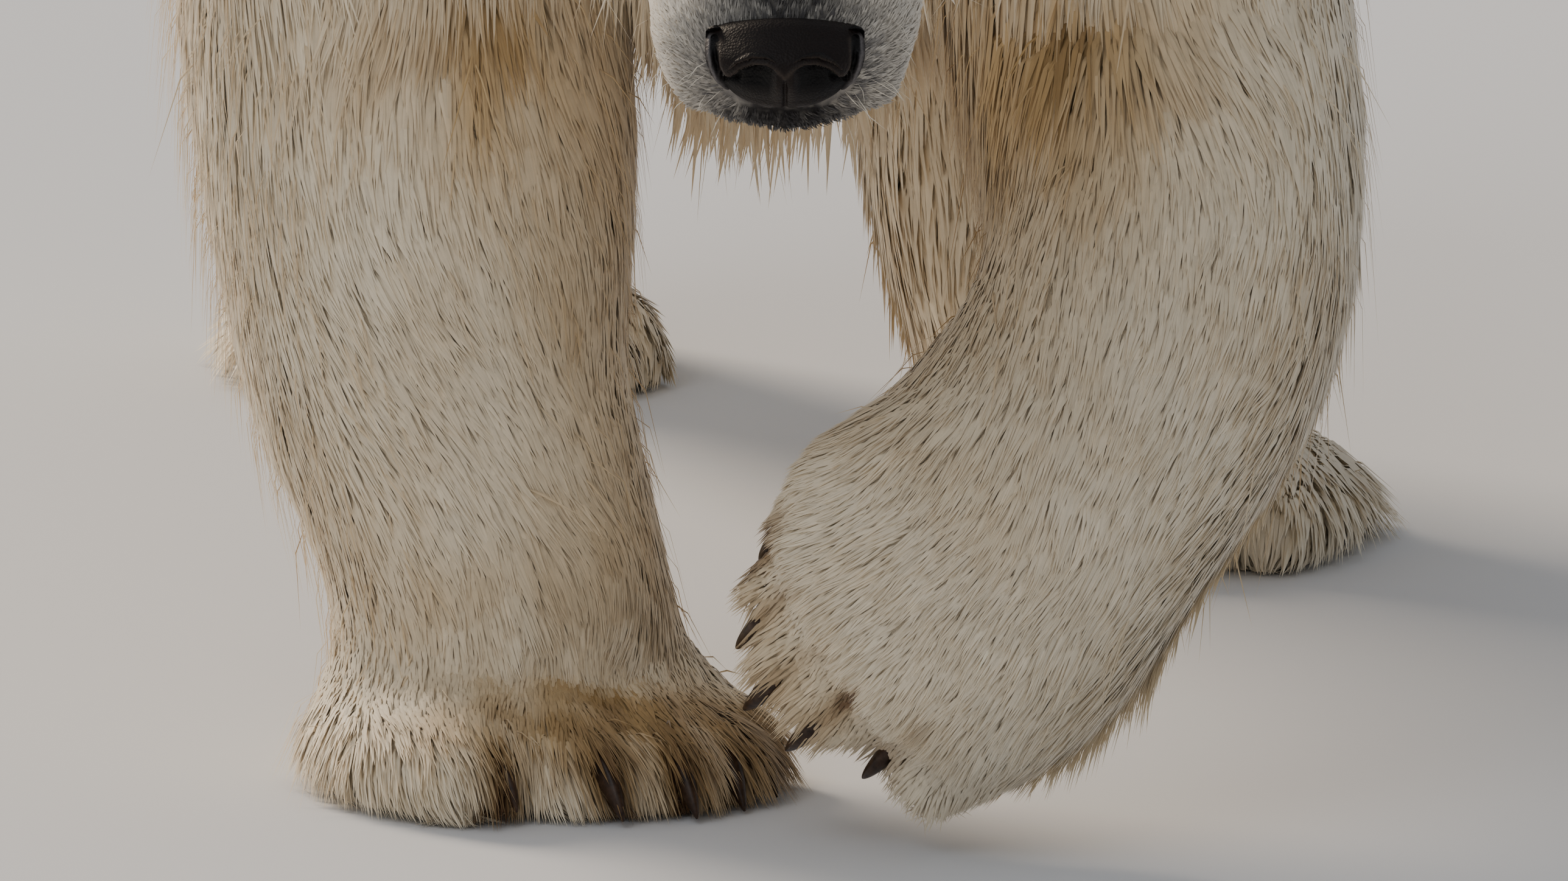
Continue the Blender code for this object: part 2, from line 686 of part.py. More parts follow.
def main():
    clear_scene()
    parts = new_collection("polar_bear", hidden=False)
    cutters = new_collection("cutters", hidden=True)
    form = bmesh.new()
    add_trunk(form)
    add_neck(form)
    add_tail(form)
    add_head(form)
    add_legs(form)
    body = fused(mesh_from(form, "body"), "body", parts)
    body.hide_render = False
    body.display_type = "TEXTURED"
    flat_floor(body)
    grown = grown_copy(body, cutters)
    nodes = part_body(body, parts, cutters)
    for word, sign in (("left", LEFT), ("right", RIGHT)):
        nodes[f"eye_{word}"] = add_eye(f"eye_{word}", sign, nodes["head"], parts, cutters)
        nodes[f"ear_{word}"] = add_ear(f"ear_{word}", sign, grown, parts, cutters)
    nodes["nose"] = add_nose(grown, parts, cutters)
    nodes.update(add_claws(grown, parts))
    bpy.data.objects.remove(grown)
    for name, obj in nodes.items():
        obj.name = name
        largest_body(obj)
    dress(nodes)
    centre_on_floor(nodes)


main()
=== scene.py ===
"""The looks of the polar bear: one skin, a coat of mesh tufts, eyes, nose, claws and pads, on a pale floor.

Metres, +Z up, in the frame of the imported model: the bear faces -Y and its left side is +X. Every place is
worked out from the CAD nodes. The coat's measures are given once for each kind of bone, and they blend from
bone to bone.
"""

import math

import bmesh
import bpy
import numpy as np
from mathutils import Matrix, Vector, kdtree
from mathutils.bvhtree import BVHTree


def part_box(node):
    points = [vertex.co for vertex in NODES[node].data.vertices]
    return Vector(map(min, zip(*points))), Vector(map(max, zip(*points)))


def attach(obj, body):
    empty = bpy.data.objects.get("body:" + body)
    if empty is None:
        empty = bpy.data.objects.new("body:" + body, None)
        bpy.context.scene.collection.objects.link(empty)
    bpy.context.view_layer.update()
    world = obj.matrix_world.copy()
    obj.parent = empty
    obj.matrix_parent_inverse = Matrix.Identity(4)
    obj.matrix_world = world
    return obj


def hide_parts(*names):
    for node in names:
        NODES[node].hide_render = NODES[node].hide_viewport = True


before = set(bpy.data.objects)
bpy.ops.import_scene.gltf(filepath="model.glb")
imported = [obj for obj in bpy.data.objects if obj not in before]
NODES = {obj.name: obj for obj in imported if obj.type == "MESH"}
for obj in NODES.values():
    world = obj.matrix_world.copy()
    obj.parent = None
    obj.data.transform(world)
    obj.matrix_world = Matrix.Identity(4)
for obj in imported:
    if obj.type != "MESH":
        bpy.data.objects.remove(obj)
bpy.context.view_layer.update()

# ---- driving sizes -------------------------------------------------------------------------------
LEFT, RIGHT = 1, -1  # the side's sign along X
SIDES = {"left": LEFT, "right": RIGHT}
CLOSE_GAPS = 0.0004  # each solid grows by this, which closes the thin gaps between them
SKIN_VOXEL = 0.005
SKIN_FACES = 90000
PLAIN_SMOOTHING = 150  # passes over the trunk and the legs
FINE_SMOOTHING = 12  # passes over the head and the paws
ROOT_DEPTH = 0.0012  # how far a tuft's root lies in the skin
CLAW_SINK = 0.07  # how far a claw's base lies below its solid's, as a share of its length
WISPS = 4200  # guard hairs to the square metre, on the backs of the legs
WISP_LENGTH, WISP_WIDTH = 0.055, 0.0013
WHISKERS = 11000  # to the square metre, where they are thickest
LOCK = 9  # about how many tufts lean together
BEND, BEND_RISE = 0.35, 0.68  # where a tuft bends and is widest: shares of its length and of its rise
PATCH = 0.003  # a tuft's side on the map of the skin
OFF_FLOOR = 0.0008  # the lowest that any hair hangs
SEED = 7
CROWD = 1.18  # roots are sown this much too thickly, and those too near another are taken out again
ROOT_GAP = 0.45  # how near that is, as a share of the roots' mean spacing
FULL_COAT = 1.0  # the share of the tufts that are made

HEAD_PITCH = math.radians(22)  # muzzle below level
NOSE_VIEW = HEAD_PITCH + math.radians(10)  # the nose's lines are drawn as seen from ahead and this much above
EYE_RADIUS = 0.0135
EYE_SET_IN = 0.0035  # how far the ball lies behind its solid
EYE_WIDE, EYE_TALL = 0.0098, 0.0062  # half the opening between the lids
LID = 0.0014  # thickness of a lid
UP = Vector((0, 0, 1))
CAMERA_DISTANCE, CAMERA_RISE = 12.0, math.radians(10)
VIEW_WIDTH = 0.92
VIEW_MIDDLE = 0.2271  # from the planted paw's toes up to the middle of the picture

# For each kind of bone: half thickness, hair length, coat depth, tuft width, tufts to the square metre, and
# how far the lie of the hair sinks towards the ground.
COAT = {
    "trunk": (0.340, 0.070, 0.020, 0.0076, 15800, 0.55),
    "neck": (0.200, 0.056, 0.016, 0.0053, 33000, 0.60),
    "skull": (0.135, 0.024, 0.0080, 0.0028, 78000, 0.20),
    "muzzle": (0.072, 0.0075, 0.0030, 0.0012, 310000, 0.05),
    "ear": (0.050, 0.012, 0.005, 0.0019, 130000, 0.00),
    "tail": (0.060, 0.050, 0.020, 0.0055, 30000, 0.20),
    "upper_arm": (0.160, 0.052, 0.010, 0.0033, 70000, 0.0),
    "forearm": (0.125, 0.036, 0.0062, 0.0025, 119000, 0.0),
    "fore_paw": (0.085, 0.024, 0.0056, 0.0019, 205000, 0.0),
    "thigh": (0.200, 0.066, 0.016, 0.0064, 24500, 0.1),
    "shank": (0.140, 0.055, 0.012, 0.0050, 38000, 0.0),
    "foot": (0.085, 0.027, 0.006, 0.0033, 86000, 0.0),
}

# Linear colours
IVORY = (0.88, 0.78, 0.60)
CREAM = (0.90, 0.84, 0.72)
GOLD = (0.60, 0.40, 0.17)
BROWN = (0.13, 0.066, 0.027)
GREY_SKIN = (0.14, 0.13, 0.125)
BLACK_SKIN = (0.012, 0.010, 0.010)
NOSE_BLACK = (0.008, 0.0045, 0.0035)


# ---- places, from the frame ----------------------------------------------------------------------
def points_of(node):
    """A CAD node's vertices as an array."""
    return np.array([vert.co for vert in NODES[node].data.vertices])


def spot(node, x=0.5, y=0.5, z=0.5):
    """A point of a node's box, in shares of its sides."""
    low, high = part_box(node)
    return Vector(low[i] + (high[i] - low[i]) * share for i, share in enumerate((x, y, z)))


def meeting(node, other, reach=0.003):
    """The middle of where one node meets another."""
    mesh = NODES[other].data
    faces = [face.vertices for face in mesh.polygons]
    tree = BVHTree.FromPolygons([vert.co for vert in mesh.vertices], faces)
    near = [point for point in points_of(node) if tree.find_nearest(point, reach)[0]]
    return Vector(np.mean(near, axis=0))


def farthest(node, start):
    """A node's point farthest from a place."""
    points = points_of(node)
    return Vector(points[np.linalg.norm(points - np.array(start), axis=1).argmax()])


def head_place():
    """From the head's own axes (x to its left, y backwards from the nose, z up square to the muzzle) to the
    bear's."""
    low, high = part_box("nose")
    tip = Vector(((low.x + high.x) / 2, low.y + 0.010, (low.z + high.z) / 2 - 0.0115))
    return Matrix.Translation(tip) @ Matrix.Rotation(HEAD_PITCH, 4, "X")


HEAD = head_place()


def in_head(x, back, up):
    """A point of the bear from its place in the head's axes."""
    return HEAD @ Vector((x, back, up))


def eye_centre(word):
    low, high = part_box(f"eye_{word}")
    return (low + high) / 2


def eye_axes(word):
    """An eye's centre, and its own axes as columns: along the lids, over, and the way it looks."""
    turn = HEAD.to_3x3()
    gaze = (turn @ Vector((SIDES[word] * 0.72, -0.66, 0.22))).normalized()
    over = turn @ Vector((0, -0.22, 1))
    over = (over - over.dot(gaze) * gaze).normalized()
    return eye_centre(word) - gaze * EYE_SET_IN, Matrix((over.cross(gaze), over, gaze)).transposed()


def seen_by_eye(points, word):
    """Points in an eye's own axes, and how far each lies from the middle of its opening: 1 at the lids."""
    centre, axes = eye_axes(word)
    local = (points - np.array(centre)) @ np.array(axes)
    return local, np.hypot(local[:, 0] / EYE_WIDE, local[:, 1] / EYE_TALL)


class Paw:
    """Where a paw is, which way it points, and its claws, read from its CAD nodes."""

    def __init__(self, leg):
        self.leg = leg
        self.fore = leg.startswith("fore")
        self.side = LEFT if leg.endswith("left") else RIGHT
        self.node = f"{leg}_paw" if self.fore else f"{leg}_foot"
        self.claws = []
        for number in range(1, 6):
            name = f"claw_{leg}_{number}"
            base = meeting(name, self.node, reach=0.004)
            self.claws.append((name, base, farthest(name, base)))
        self.ankle = meeting(self.node, f"{leg}_forearm" if self.fore else f"{leg}_shank")
        self.toes = sum((base for _, base, _ in self.claws), Vector()) / 5
        outer, inner = self.claws[4][1], self.claws[0][1]
        left = self.side * (outer - inner).normalized()
        ahead = self.toes - self.ankle
        if self.leg != "fore_left":
            ahead.z = 0
            left.z = 0
        self.forward = (ahead - ahead.dot(left) * left).normalized()
        self.left = left.normalized()
        self.up = self.forward.cross(self.left).normalized()


PAWS = {leg: Paw(leg) for leg in ("fore_left", "fore_right", "hind_left", "hind_right")}


ELBOWS = [meeting(f"{leg}_upper_arm", f"{leg}_forearm") for leg in ("fore_left", "fore_right")]


# ---- the bones, which carry the coat's measures --------------------------------------------------
class Bone:
    """A line through a part of the body, with the measures of its coat and the lie of its hair."""

    def __init__(self, name, kind, start, end, lie=None):
        self.name, self.kind = name, kind
        self.start, self.end = np.array(start), np.array(end)
        run = Vector(lie) if lie else Vector(end) - Vector(start)
        self.lie = np.array(run.normalized())
        self.measures = np.array(COAT[kind])

    def distance(self, points):
        run = self.end - self.start
        along = np.clip(((points - self.start) @ run) / (run @ run), 0, 1)
        return np.linalg.norm(points - self.start - along[:, None] * run, axis=1) / self.measures[0]


def all_bones():
    occiput = in_head(0, 0.40, 0.0)
    shoulders = spot("neck", 0.5, 0.85, 0.55)
    bones = [
        Bone("trunk", "trunk", spot("trunk", 0.5, 0.19, 0.58), spot("trunk", 0.5, 0.90, 0.58)),
        Bone("neck", "neck", occiput, shoulders, lie=(0, 1, 0.35)),
        Bone("skull", "skull", in_head(0, 0.24, 0.005), in_head(0, 0.36, 0.005)),
        Bone("muzzle", "muzzle", in_head(0, 0.02, -0.006), in_head(0, 0.17, 0.002)),
    ]
    for word in SIDES:
        root = meeting(f"ear_{word}", "head", 0.004)
        bones.append(Bone(f"ear_{word}", "ear", root, farthest(f"ear_{word}", root)))
    tail_root = meeting("tail", "trunk")
    bones.append(Bone("tail", "tail", tail_root, spot("tail", 0.5, 0.8, 0.1)))
    for leg, paw in PAWS.items():
        words = ("upper_arm", "forearm", "fore_paw") if paw.fore else ("thigh", "shank", "foot")
        high, low = f"{leg}_{words[0]}", f"{leg}_{words[1]}"
        knee = meeting(high, low)
        bones.append(Bone(high, words[0], spot(high, 0.5, 0.5, 0.95), knee))
        bones.append(Bone(low, words[1], knee, paw.ankle))
        middle = paw.ankle + (paw.toes - paw.ankle) * 0.35
        lie = paw.forward - 0.35 * paw.up
        if leg == "fore_left":
            lie = sum(((tip - base).normalized() for _, base, tip in paw.claws), Vector()) / 5 - 0.25 * UP
        bones.append(Bone(paw.node, words[2], middle, paw.toes - paw.forward * 0.02, lie=lie))
    return bones


BONES = all_bones()
BONE_NAMES = [bone.name for bone in BONES]
LEFT_PIT = spot("fore_left_upper_arm", 0.02, 0.25, 0.17)
RIGHT_PIT = spot("fore_right_forearm", 0.60, 0.2, 1.16)
BREAST = Vector((0, -0.46, 0.51))


def bone_weights(points):
    """How much each bone counts at each point: 1 in all, and nearly all for the bone whose form it is on."""
    nearness = np.stack([np.maximum(bone.distance(points), 0.3) for bone in BONES], axis=1) ** -8
    return nearness / nearness.sum(1, keepdims=True)


def wave_noise(points, scale, seed, channels=1):
    """Smooth noise from -1 to 1, made of crossing waves about `scale` metres long."""
    rng = np.random.default_rng(seed)
    total = np.zeros((len(points), channels))
    waves = 9
    for _ in range(waves):
        direction = rng.normal(size=3)
        direction /= np.linalg.norm(direction) * scale / (2 * math.pi) * rng.uniform(0.6, 1.6)
        phase = rng.uniform(0, 2 * math.pi, channels)
        total += np.sin((points @ direction)[:, None] + phase)
    return (total / math.sqrt(waves / 2)).clip(-2, 2) / 2


def bump_at(points, centre, radii, axes=None):
    """A soft spot: 1 at the centre, falling to 0 about two radii away."""
    local = points - np.array(centre)
    if axes is not None:
        local = local @ np.array(axes)
    return np.exp(-((local / np.array(radii)) ** 2).sum(1))


def to_head(points):
    """Points in the head's axes."""
    turn = np.array(HEAD.to_3x3())
    return (points - np.array(HEAD.translation)) @ turn


def unit(vectors):
    return vectors / np.maximum(np.linalg.norm(vectors, axis=1, keepdims=True), 1e-9)


def hill(gap, reach, power=2):
    """1 where the gap is 0, falling to 0 about twice the reach away."""
    return np.exp(-((gap / reach) ** power))


def gap_to(points, place):
    """Each point's distance to one place."""
    return np.linalg.norm(points - np.array(place), axis=1)


def path_distance(points, path):
    """Each point's distance to a line through the path's points."""
    best = np.full(len(points), 1e9)
    for a, b in zip(path, path[1:]):
        a, b = np.array(a), np.array(b)
        run = b - a
        along = np.clip(((points - a) @ run) / (run @ run), 0, 1)
        best = np.minimum(best, np.linalg.norm(points - a - along[:, None] * run, axis=1))
    return best


# ---- the face's lines, in the head's axes --------------------------------------------------------
def mouth_path(side):
    """One side of the mouth's line, from the middle to the corner."""
    return [(0, 0.012, -0.034), (side * 0.035, 0.020, -0.036), (side * 0.058, 0.048, -0.040),
            (side * 0.068, 0.090, -0.042), (side * 0.072, 0.130, -0.040), (side * 0.070, 0.168, -0.030)]


# ---- measures of the coat at any point of the skin -----------------------------------------------
def coat_measures(points, normals):
    """The coat at each point: its measures, the hair's lie and lift, and each bone's and kind's share."""
    weights = bone_weights(points)
    table = np.stack([bone.measures for bone in BONES])
    _, length, depth, width, density, sink = (weights @ table).T
    lie = weights @ np.stack([bone.lie for bone in BONES])
    lie[:, 2] -= sink
    lie += 0.22 * wave_noise(points, 0.22, SEED + 1, 3) + 0.10 * wave_noise(points, 0.05, SEED + 2, 3)
    kinds = {kind: weights[:, [bone.kind == kind for bone in BONES]].sum(1) for kind in COAT}
    coat = {"length": length.copy(), "depth": depth.copy(), "width": width.copy(), "density": density.copy(),
            "lie": lie, "lift": np.zeros(len(points)), "kinds": kinds, "weights": weights}
    dress_body(coat, points, normals)
    for paw in PAWS.values():
        dress_paw(coat, points, paw)
    dress_floor_line(coat, points, normals)
    dress_face(coat, points)

    # the soles are bare enough to stand on
    sole = np.clip((-normals[:, 2] - 0.75) / 0.2, 0, 1) * (points[:, 2] < 0.005)
    paws = kinds["fore_paw"] + kinds["foot"]
    coat["depth"] *= 1 - 0.8 * sole * paws
    coat["length"] *= 1 - 0.7 * sole * paws
    coat["sole"] = sole * paws
    return coat


def share_of(coat, bone):
    """How much one bone counts at each point."""
    return coat["weights"][:, BONE_NAMES.index(bone)]


def dress_body(coat, points, normals):
    """Long hair under the belly and down the backs of the legs, on the breast and inside the swinging arm."""
    kinds = coat["kinds"]
    aft = np.clip((points[:, 1] - spot("trunk", 0.5, 0.78).y) / 0.12, 0, 1)
    down, behind = np.clip(-normals[:, 2], 0, 1), np.clip(normals[:, 1], 0, 1)
    below = down * (kinds["trunk"] + 0.8 * kinds["neck"] + 0.5 * kinds["upper_arm"]) * (1 - 0.85 * aft)
    legs = kinds["forearm"] + 0.8 * kinds["upper_arm"] + 0.7 * kinds["shank"] + 0.4 * kinds["thigh"]
    feather = behind * legs
    coat["length"] *= 1 + 0.9 * below + 1.2 * feather
    coat["depth"] = coat["depth"] + 0.028 * below + 0.012 * feather
    coat["width"] *= 1 + 0.25 * below + 0.20 * feather
    coat["density"] *= 1 - 0.25 * feather
    elbow = sum(bump_at(points, centre, (0.12, 0.14, 0.12)) for centre in ELBOWS) * behind
    coat["length"] += 0.040 * elbow

    # on the rump the hair hangs down
    coat["lie"][:, 2] -= 1.8 * aft * behind * (kinds["trunk"] + kinds["tail"] + kinds["thigh"])
    coat["lie"][:, 1] -= 0.8 * aft * behind * kinds["trunk"]
    coat["lie"] += foreleg_flow(points, normals, kinds)

    breast = bump_at(points, BREAST, (0.15, 0.17, 0.16)) * down**2
    coat["lift"] += 0.134 * breast
    coat["depth"] *= 1 - 0.60 * breast
    coat["width"] *= 1 - 0.50 * breast
    coat["density"] *= 1 + 1.8 * breast
    inside = np.clip(-normals[:, 0], 0, 1) * share_of(coat, "fore_left_upper_arm")
    coat["length"] += 0.035 * inside
    coat["lift"] += 0.026 * inside


def dress_paw(coat, points, paw):
    """Hair comes out over the claws and fullest between them, and each claw shows in a hollow of the coat."""
    bared = 0.45
    if paw.leg == "fore_right":
        # on the planted forepaw the hair is long, and fans out to the sides of the toes
        bared = 0.75
        on_paw = share_of(coat, paw.node)
        beside = (points - np.array(paw.toes)) @ np.array(paw.left)
        fan = np.sign(beside) * np.clip((np.abs(beside) - 0.025) / 0.060, 0, 1)
        coat["lie"] += 0.5 * (fan * on_paw)[:, None] * np.array(paw.left)
        coat["length"] += 0.012 * on_paw
    for _, base, tip in paw.claws:
        run = (tip - base).normalized()
        ahead = np.array(run)
        near = hill(gap_to(points, np.array(base) - ahead * 0.010), 0.022)
        hollow = hill(path_distance(points, (base - run * 0.006, tip)), 0.0105)
        coat["density"] *= 1 - bared * hollow
        coat["lie"] += 1.5 * near[:, None] * ahead
        coat["length"] += 0.015 * near
        coat["lift"] += 0.005 * near
    for (_, base, _), (_, other, _) in zip(paw.claws, paw.claws[1:]):
        middle = (base + other) / 2
        coat["lift"] += 0.009 * hill(gap_to(points, middle + paw.forward * 0.004), 0.016)
        if paw.leg != "fore_left":
            # the skin fills the gap between two toes at the floor
            web = middle - paw.forward * 0.006
            web.z = 0.014
            coat["depth"] -= 0.009 * hill(gap_to(points, web), 0.018)


def dress_floor_line(coat, points, normals):
    """The paws' hair hangs down to the floor all round them."""
    low = hill(points[:, 2], 0.035) * (coat["kinds"]["fore_paw"] + coat["kinds"]["foot"])
    coat["lie"][:, 2] -= 1.4 * low
    under = 0.006 + 0.016 * np.clip(-1.6 * normals[:, 2], 0, 1)
    coat["lift"] += under * low * np.clip(1.6 + 2 * normals[:, 2], 0, 1)


def dress_face(coat, points):
    """The face's hair is shortest round the eyes and on the chin."""
    for word in SIDES:
        near = hill(gap_to(points, eye_centre(word)), 0.034, 4)
        for measure, value in (("length", 0.0085), ("depth", 0.0025), ("width", 0.0014)):
            coat[measure] = coat[measure] * (1 - near) + value * near
        coat["density"] *= 1 + 1.6 * near
    chin = bump_at(to_head(points), (0, 0.010, -0.034), (0.040, 0.034, 0.018))
    coat["length"] *= 1 - 0.45 * chin
    coat["width"] *= 1 - 0.25 * chin


def foreleg_flow(points, normals, kinds):
    """The sweep of the hair down the fronts of the forelegs: it fans out below each elbow pit, and on the
    planted leg it crosses towards the inside."""
    front = np.clip(-normals[:, 1], 0, 1) * (kinds["upper_arm"] + kinds["forearm"])
    turn = np.zeros((len(points), 3))
    for pit in (LEFT_PIT, RIGHT_PIT):
        away = points - np.array(pit)
        away[:, 1] = 0
        away[:, 2] = -np.abs(away[:, 2]) - 0.02
        near = hill(np.linalg.norm(away, axis=1), 0.14) * front
        turn += 1.3 * near[:, None] * unit(away)
    outward = np.clip((-0.10 - points[:, 0]) / 0.22, 0, 1) * np.clip((points[:, 2] - 0.10) / 0.08, 0, 1)
    turn[:, 0] += 0.80 * outward * front
    return turn


def elbow_fold(points):
    """How far the skin folds in at the pit of the swinging arm, and bulges above it."""
    crease = bump_at(points, LEFT_PIT + Vector((0.005, 0, 0.022)), (0.050, 0.10, 0.020))
    brow = bump_at(points, LEFT_PIT + Vector((0.02, 0, 0.055)), (0.070, 0.10, 0.022))
    return 0.009 * crease - 0.004 * brow


def stains_and_painted_shade():
    """Where the coat is stained, and where shade is painted into it by the claws: (centre, radii, strength of
    gold, strength of brown).
    """
    planted, lifted = PAWS["fore_right"], PAWS["fore_left"]
    spots = [
        (LEFT_PIT + Vector((0.010, 0, 0.020)), (0.055, 0.12, 0.034), 1.1, 0.35),
        (LEFT_PIT + Vector((-0.008, 0, 0.018)), (0.026, 0.12, 0.024), 0.8, 1.6),
        (LEFT_PIT - Vector((0.005, 0, 0.040)), (0.034, 0.12, 0.050), 0.9, 0.5),
        (LEFT_PIT - Vector((0.050, 0, 0.010)), (0.050, 0.12, 0.050), 0.5, 0.0),
        (LEFT_PIT + Vector((0.010, 0, 0.062)), (0.080, 0.12, 0.030), 0.35, 0.0),
        (RIGHT_PIT, (0.034, 0.10, 0.030), 1.1, 0.8),
        (RIGHT_PIT - Vector((0, 0, 0.055)), (0.060, 0.10, 0.050), 0.6, 0.0),
        (planted.toes + planted.up * 0.030 - planted.forward * 0.01, (0.125, 0.055, 0.024), 1.0, 0.55),
        (planted.toes + planted.left * 0.060, (0.055, 0.05, 0.045), 1.0, 0.75),
        (planted.ankle + planted.forward * 0.06, (0.10, 0.09, 0.05), 0.40, 0.15),
        (lifted.toes, (0.045, 0.05, 0.065), 0.28, 0.0),
    ]
    # painted shade: dark brown columns behind the planted paw's claws stand for the shadowed clefts between
    # its toes, over the toes' gold stains
    for _, base, tip in planted.claws:
        for gap, brown in ((0.018, 3.0), (0.030, 2.2), (0.042, 0.9)):
            column = base - planted.forward * gap + planted.up * 0.3 * gap
            spots.append((column, (0.0105, 0.014, 0.012), 0.9, brown))
    # gold stains round each claw, with brown painted shade in the hollow of the coat that the claw lies in
    for paw in (planted, lifted):
        for _, base, tip in paw.claws:
            ahead = (tip - base).normalized()
            gold = 0.5 if paw is lifted else 0.9
            spots.append((base - ahead * 0.010 + paw.up * 0.004, (0.013, 0.018, 0.013), gold, 1.5 * gold))
            spots.append((base * 0.8 + tip * 0.2, (0.014, 0.020, 0.022), gold, 2.4 * gold))
    # painted shade: faint brown streaks behind the lifted paw's claws stand for the clefts between its toes
    for _, base, tip in lifted.claws:
        for gap in (0.026, 0.038, 0.050, 0.062):
            spots.append((base - (tip - base).normalized() * gap, (0.008, 0.018, 0.008), 0.3, 0.7))
    for leg in ("hind_left", "hind_right"):
        spots.append((PAWS[leg].toes + UP * 0.03, (0.10, 0.06, 0.03), 0.5, 0.2))
        spots.append((spot(f"{leg}_shank", 0.5, 0.9, 0.7), (0.10, 0.12, 0.16), 0.55, 0.1))
    spots.append((spot("trunk", 0.5, 0.45, 0.0), (0.22, 0.50, 0.12), 0.5, 0.0))
    spots.append((BREAST, (0.18, 0.20, 0.10), 0.4, 0.0))
    spots.append((spot("tail", 0.5, 0.6, 0.2), (0.14, 0.14, 0.16), 0.5, 0.15))
    return spots


def mix(colours, other, share):
    """Colours moved towards another by that share."""
    return colours + (np.array(other) - colours) * np.clip(share, 0, 1)[:, None]


def markings(points, normals, kinds):
    """The coat's colours, which the skin and the tufts share, with painted shade in the clefts by the claws.
    """
    colours = np.tile(np.array(IVORY), (len(points), 1))
    face = kinds["skull"] + kinds["muzzle"] + kinds["ear"] + 0.5 * kinds["neck"]
    colours = mix(colours, CREAM, face)
    patches = wave_noise(points, 0.30, SEED + 3)[:, 0]
    streaks = wave_noise(points * np.array((1, 1, 0.3)), 0.035, SEED + 4)[:, 0]
    colours = mix(colours, GOLD, 0.10 + 0.10 * patches + 0.07 * streaks)
    inner = np.clip(-normals[:, 0] * np.sign(points[:, 0]), 0, 1)
    colours = mix(colours, GOLD, 0.30 * inner * (kinds["forearm"] + kinds["shank"] + kinds["upper_arm"]))
    for centre, radii, gold, brown in stains_and_painted_shade():
        spread = bump_at(points, centre, radii) * (1 + 0.5 * streaks)
        colours = mix(colours, GOLD, gold * spread)
        colours = mix(colours, BROWN, brown * spread**2)
    head = to_head(points)
    speckle = 1 + 0.35 * wave_noise(points, 0.006, SEED + 5)[:, 0]
    colours = mix(colours, GREY_SKIN, 1.1 * speckle * bump_at(head, (0, -0.005, 0.0), (0.090, 0.085, 0.074)))
    chin = bump_at(head, (0, 0.010, -0.034), (0.036, 0.032, 0.016))
    colours = mix(colours, BLACK_SKIN, 1.5 * speckle * chin)
    bridge = bump_at(head, (0, 0.034, 0.032), (0.042, 0.028, 0.020))
    colours = mix(colours, BLACK_SKIN, speckle * bridge)
    lips = np.minimum(path_distance(head, mouth_path(LEFT)), path_distance(head, mouth_path(RIGHT)))
    colours = mix(colours, BLACK_SKIN, hill(lips, 0.005) * 0.95)
    for word in SIDES:
        local, out = seen_by_eye(points, word)
        front = local[:, 2] > 0
        colours = mix(colours, GREY_SKIN, 0.7 * hill(out, 2.3, 4) * front)
        colours = mix(colours, BLACK_SKIN, hill(out, 1.55, 8) * front)
        facing = np.array(ear_facing(word))
        cup = bump_at(points, np.array(ear_middle(word)) + facing * 0.010, (0.022, 0.022, 0.026))
        cup *= np.clip(normals @ facing, 0, 1)
        colours = mix(colours, GREY_SKIN, 0.55 * cup)
    return colours


def ear_middle(word):
    """The middle of an ear's solid."""
    low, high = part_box(f"ear_{word}")
    return (low + high) / 2


def ear_facing(word):
    """The way an ear's cup opens: forwards and outwards."""
    return (HEAD.to_3x3() @ Vector((SIDES[word] * 0.45, -1.0, 0.15))).normalized()


# ---- skin ----------------------------------------------------------------------------------------
def flesh_nodes():
    """The CAD nodes that the one skin stands for."""
    words = ("trunk", "neck", "head", "tail", "ear", "paw", "forearm", "upper_arm", "foot", "shank", "thigh")
    return [name for name in NODES if name.startswith(words) or name.endswith(words)]


def link(name, data):
    obj = bpy.data.objects.new(name, data)
    bpy.context.scene.collection.objects.link(obj)
    return obj


def mesh_of(form, name):
    """A bmesh as a mesh of that name."""
    mesh = bpy.data.meshes.new(name)
    form.to_mesh(mesh)
    form.free()
    return mesh


def apply_modifiers(obj):
    graph = bpy.context.evaluated_depsgraph_get()
    mesh = bpy.data.meshes.new_from_object(obj.evaluated_get(graph), depsgraph=graph)
    obj.modifiers.clear()
    obj.data = mesh


def vertex_arrays(mesh):
    points = np.empty(len(mesh.vertices) * 3, np.float32)
    normals = np.empty(len(mesh.vertices) * 3, np.float32)
    mesh.vertices.foreach_get("co", points)
    mesh.vertices.foreach_get("normal", normals)
    return points.reshape(-1, 3).astype(float), normals.reshape(-1, 3).astype(float)


def move_vertices(mesh, points):
    mesh.vertices.foreach_set("co", points.astype(np.float32).ravel())
    mesh.update()


def joined_flesh():
    """The flesh nodes as one mesh, each grown a little, so that they overlap."""
    form = bmesh.new()
    for node in flesh_nodes():
        form.from_mesh(NODES[node].data)
    bmesh.ops.remove_doubles(form, verts=form.verts, dist=1e-5)
    form.normal_update()
    for vert in form.verts:
        vert.co += vert.normal * CLOSE_GAPS
    return mesh_of(form, "skin")


def fineness(points):
    """1 on the head and the paws, where small forms are kept, and 0 on the rest."""
    weights = bone_weights(points)
    fine = [bone.kind in ("skull", "muzzle", "ear", "fore_paw", "foot") for bone in BONES]
    return np.clip(weights[:, fine].sum(1) * 1.4 - 0.2, 0, 1)


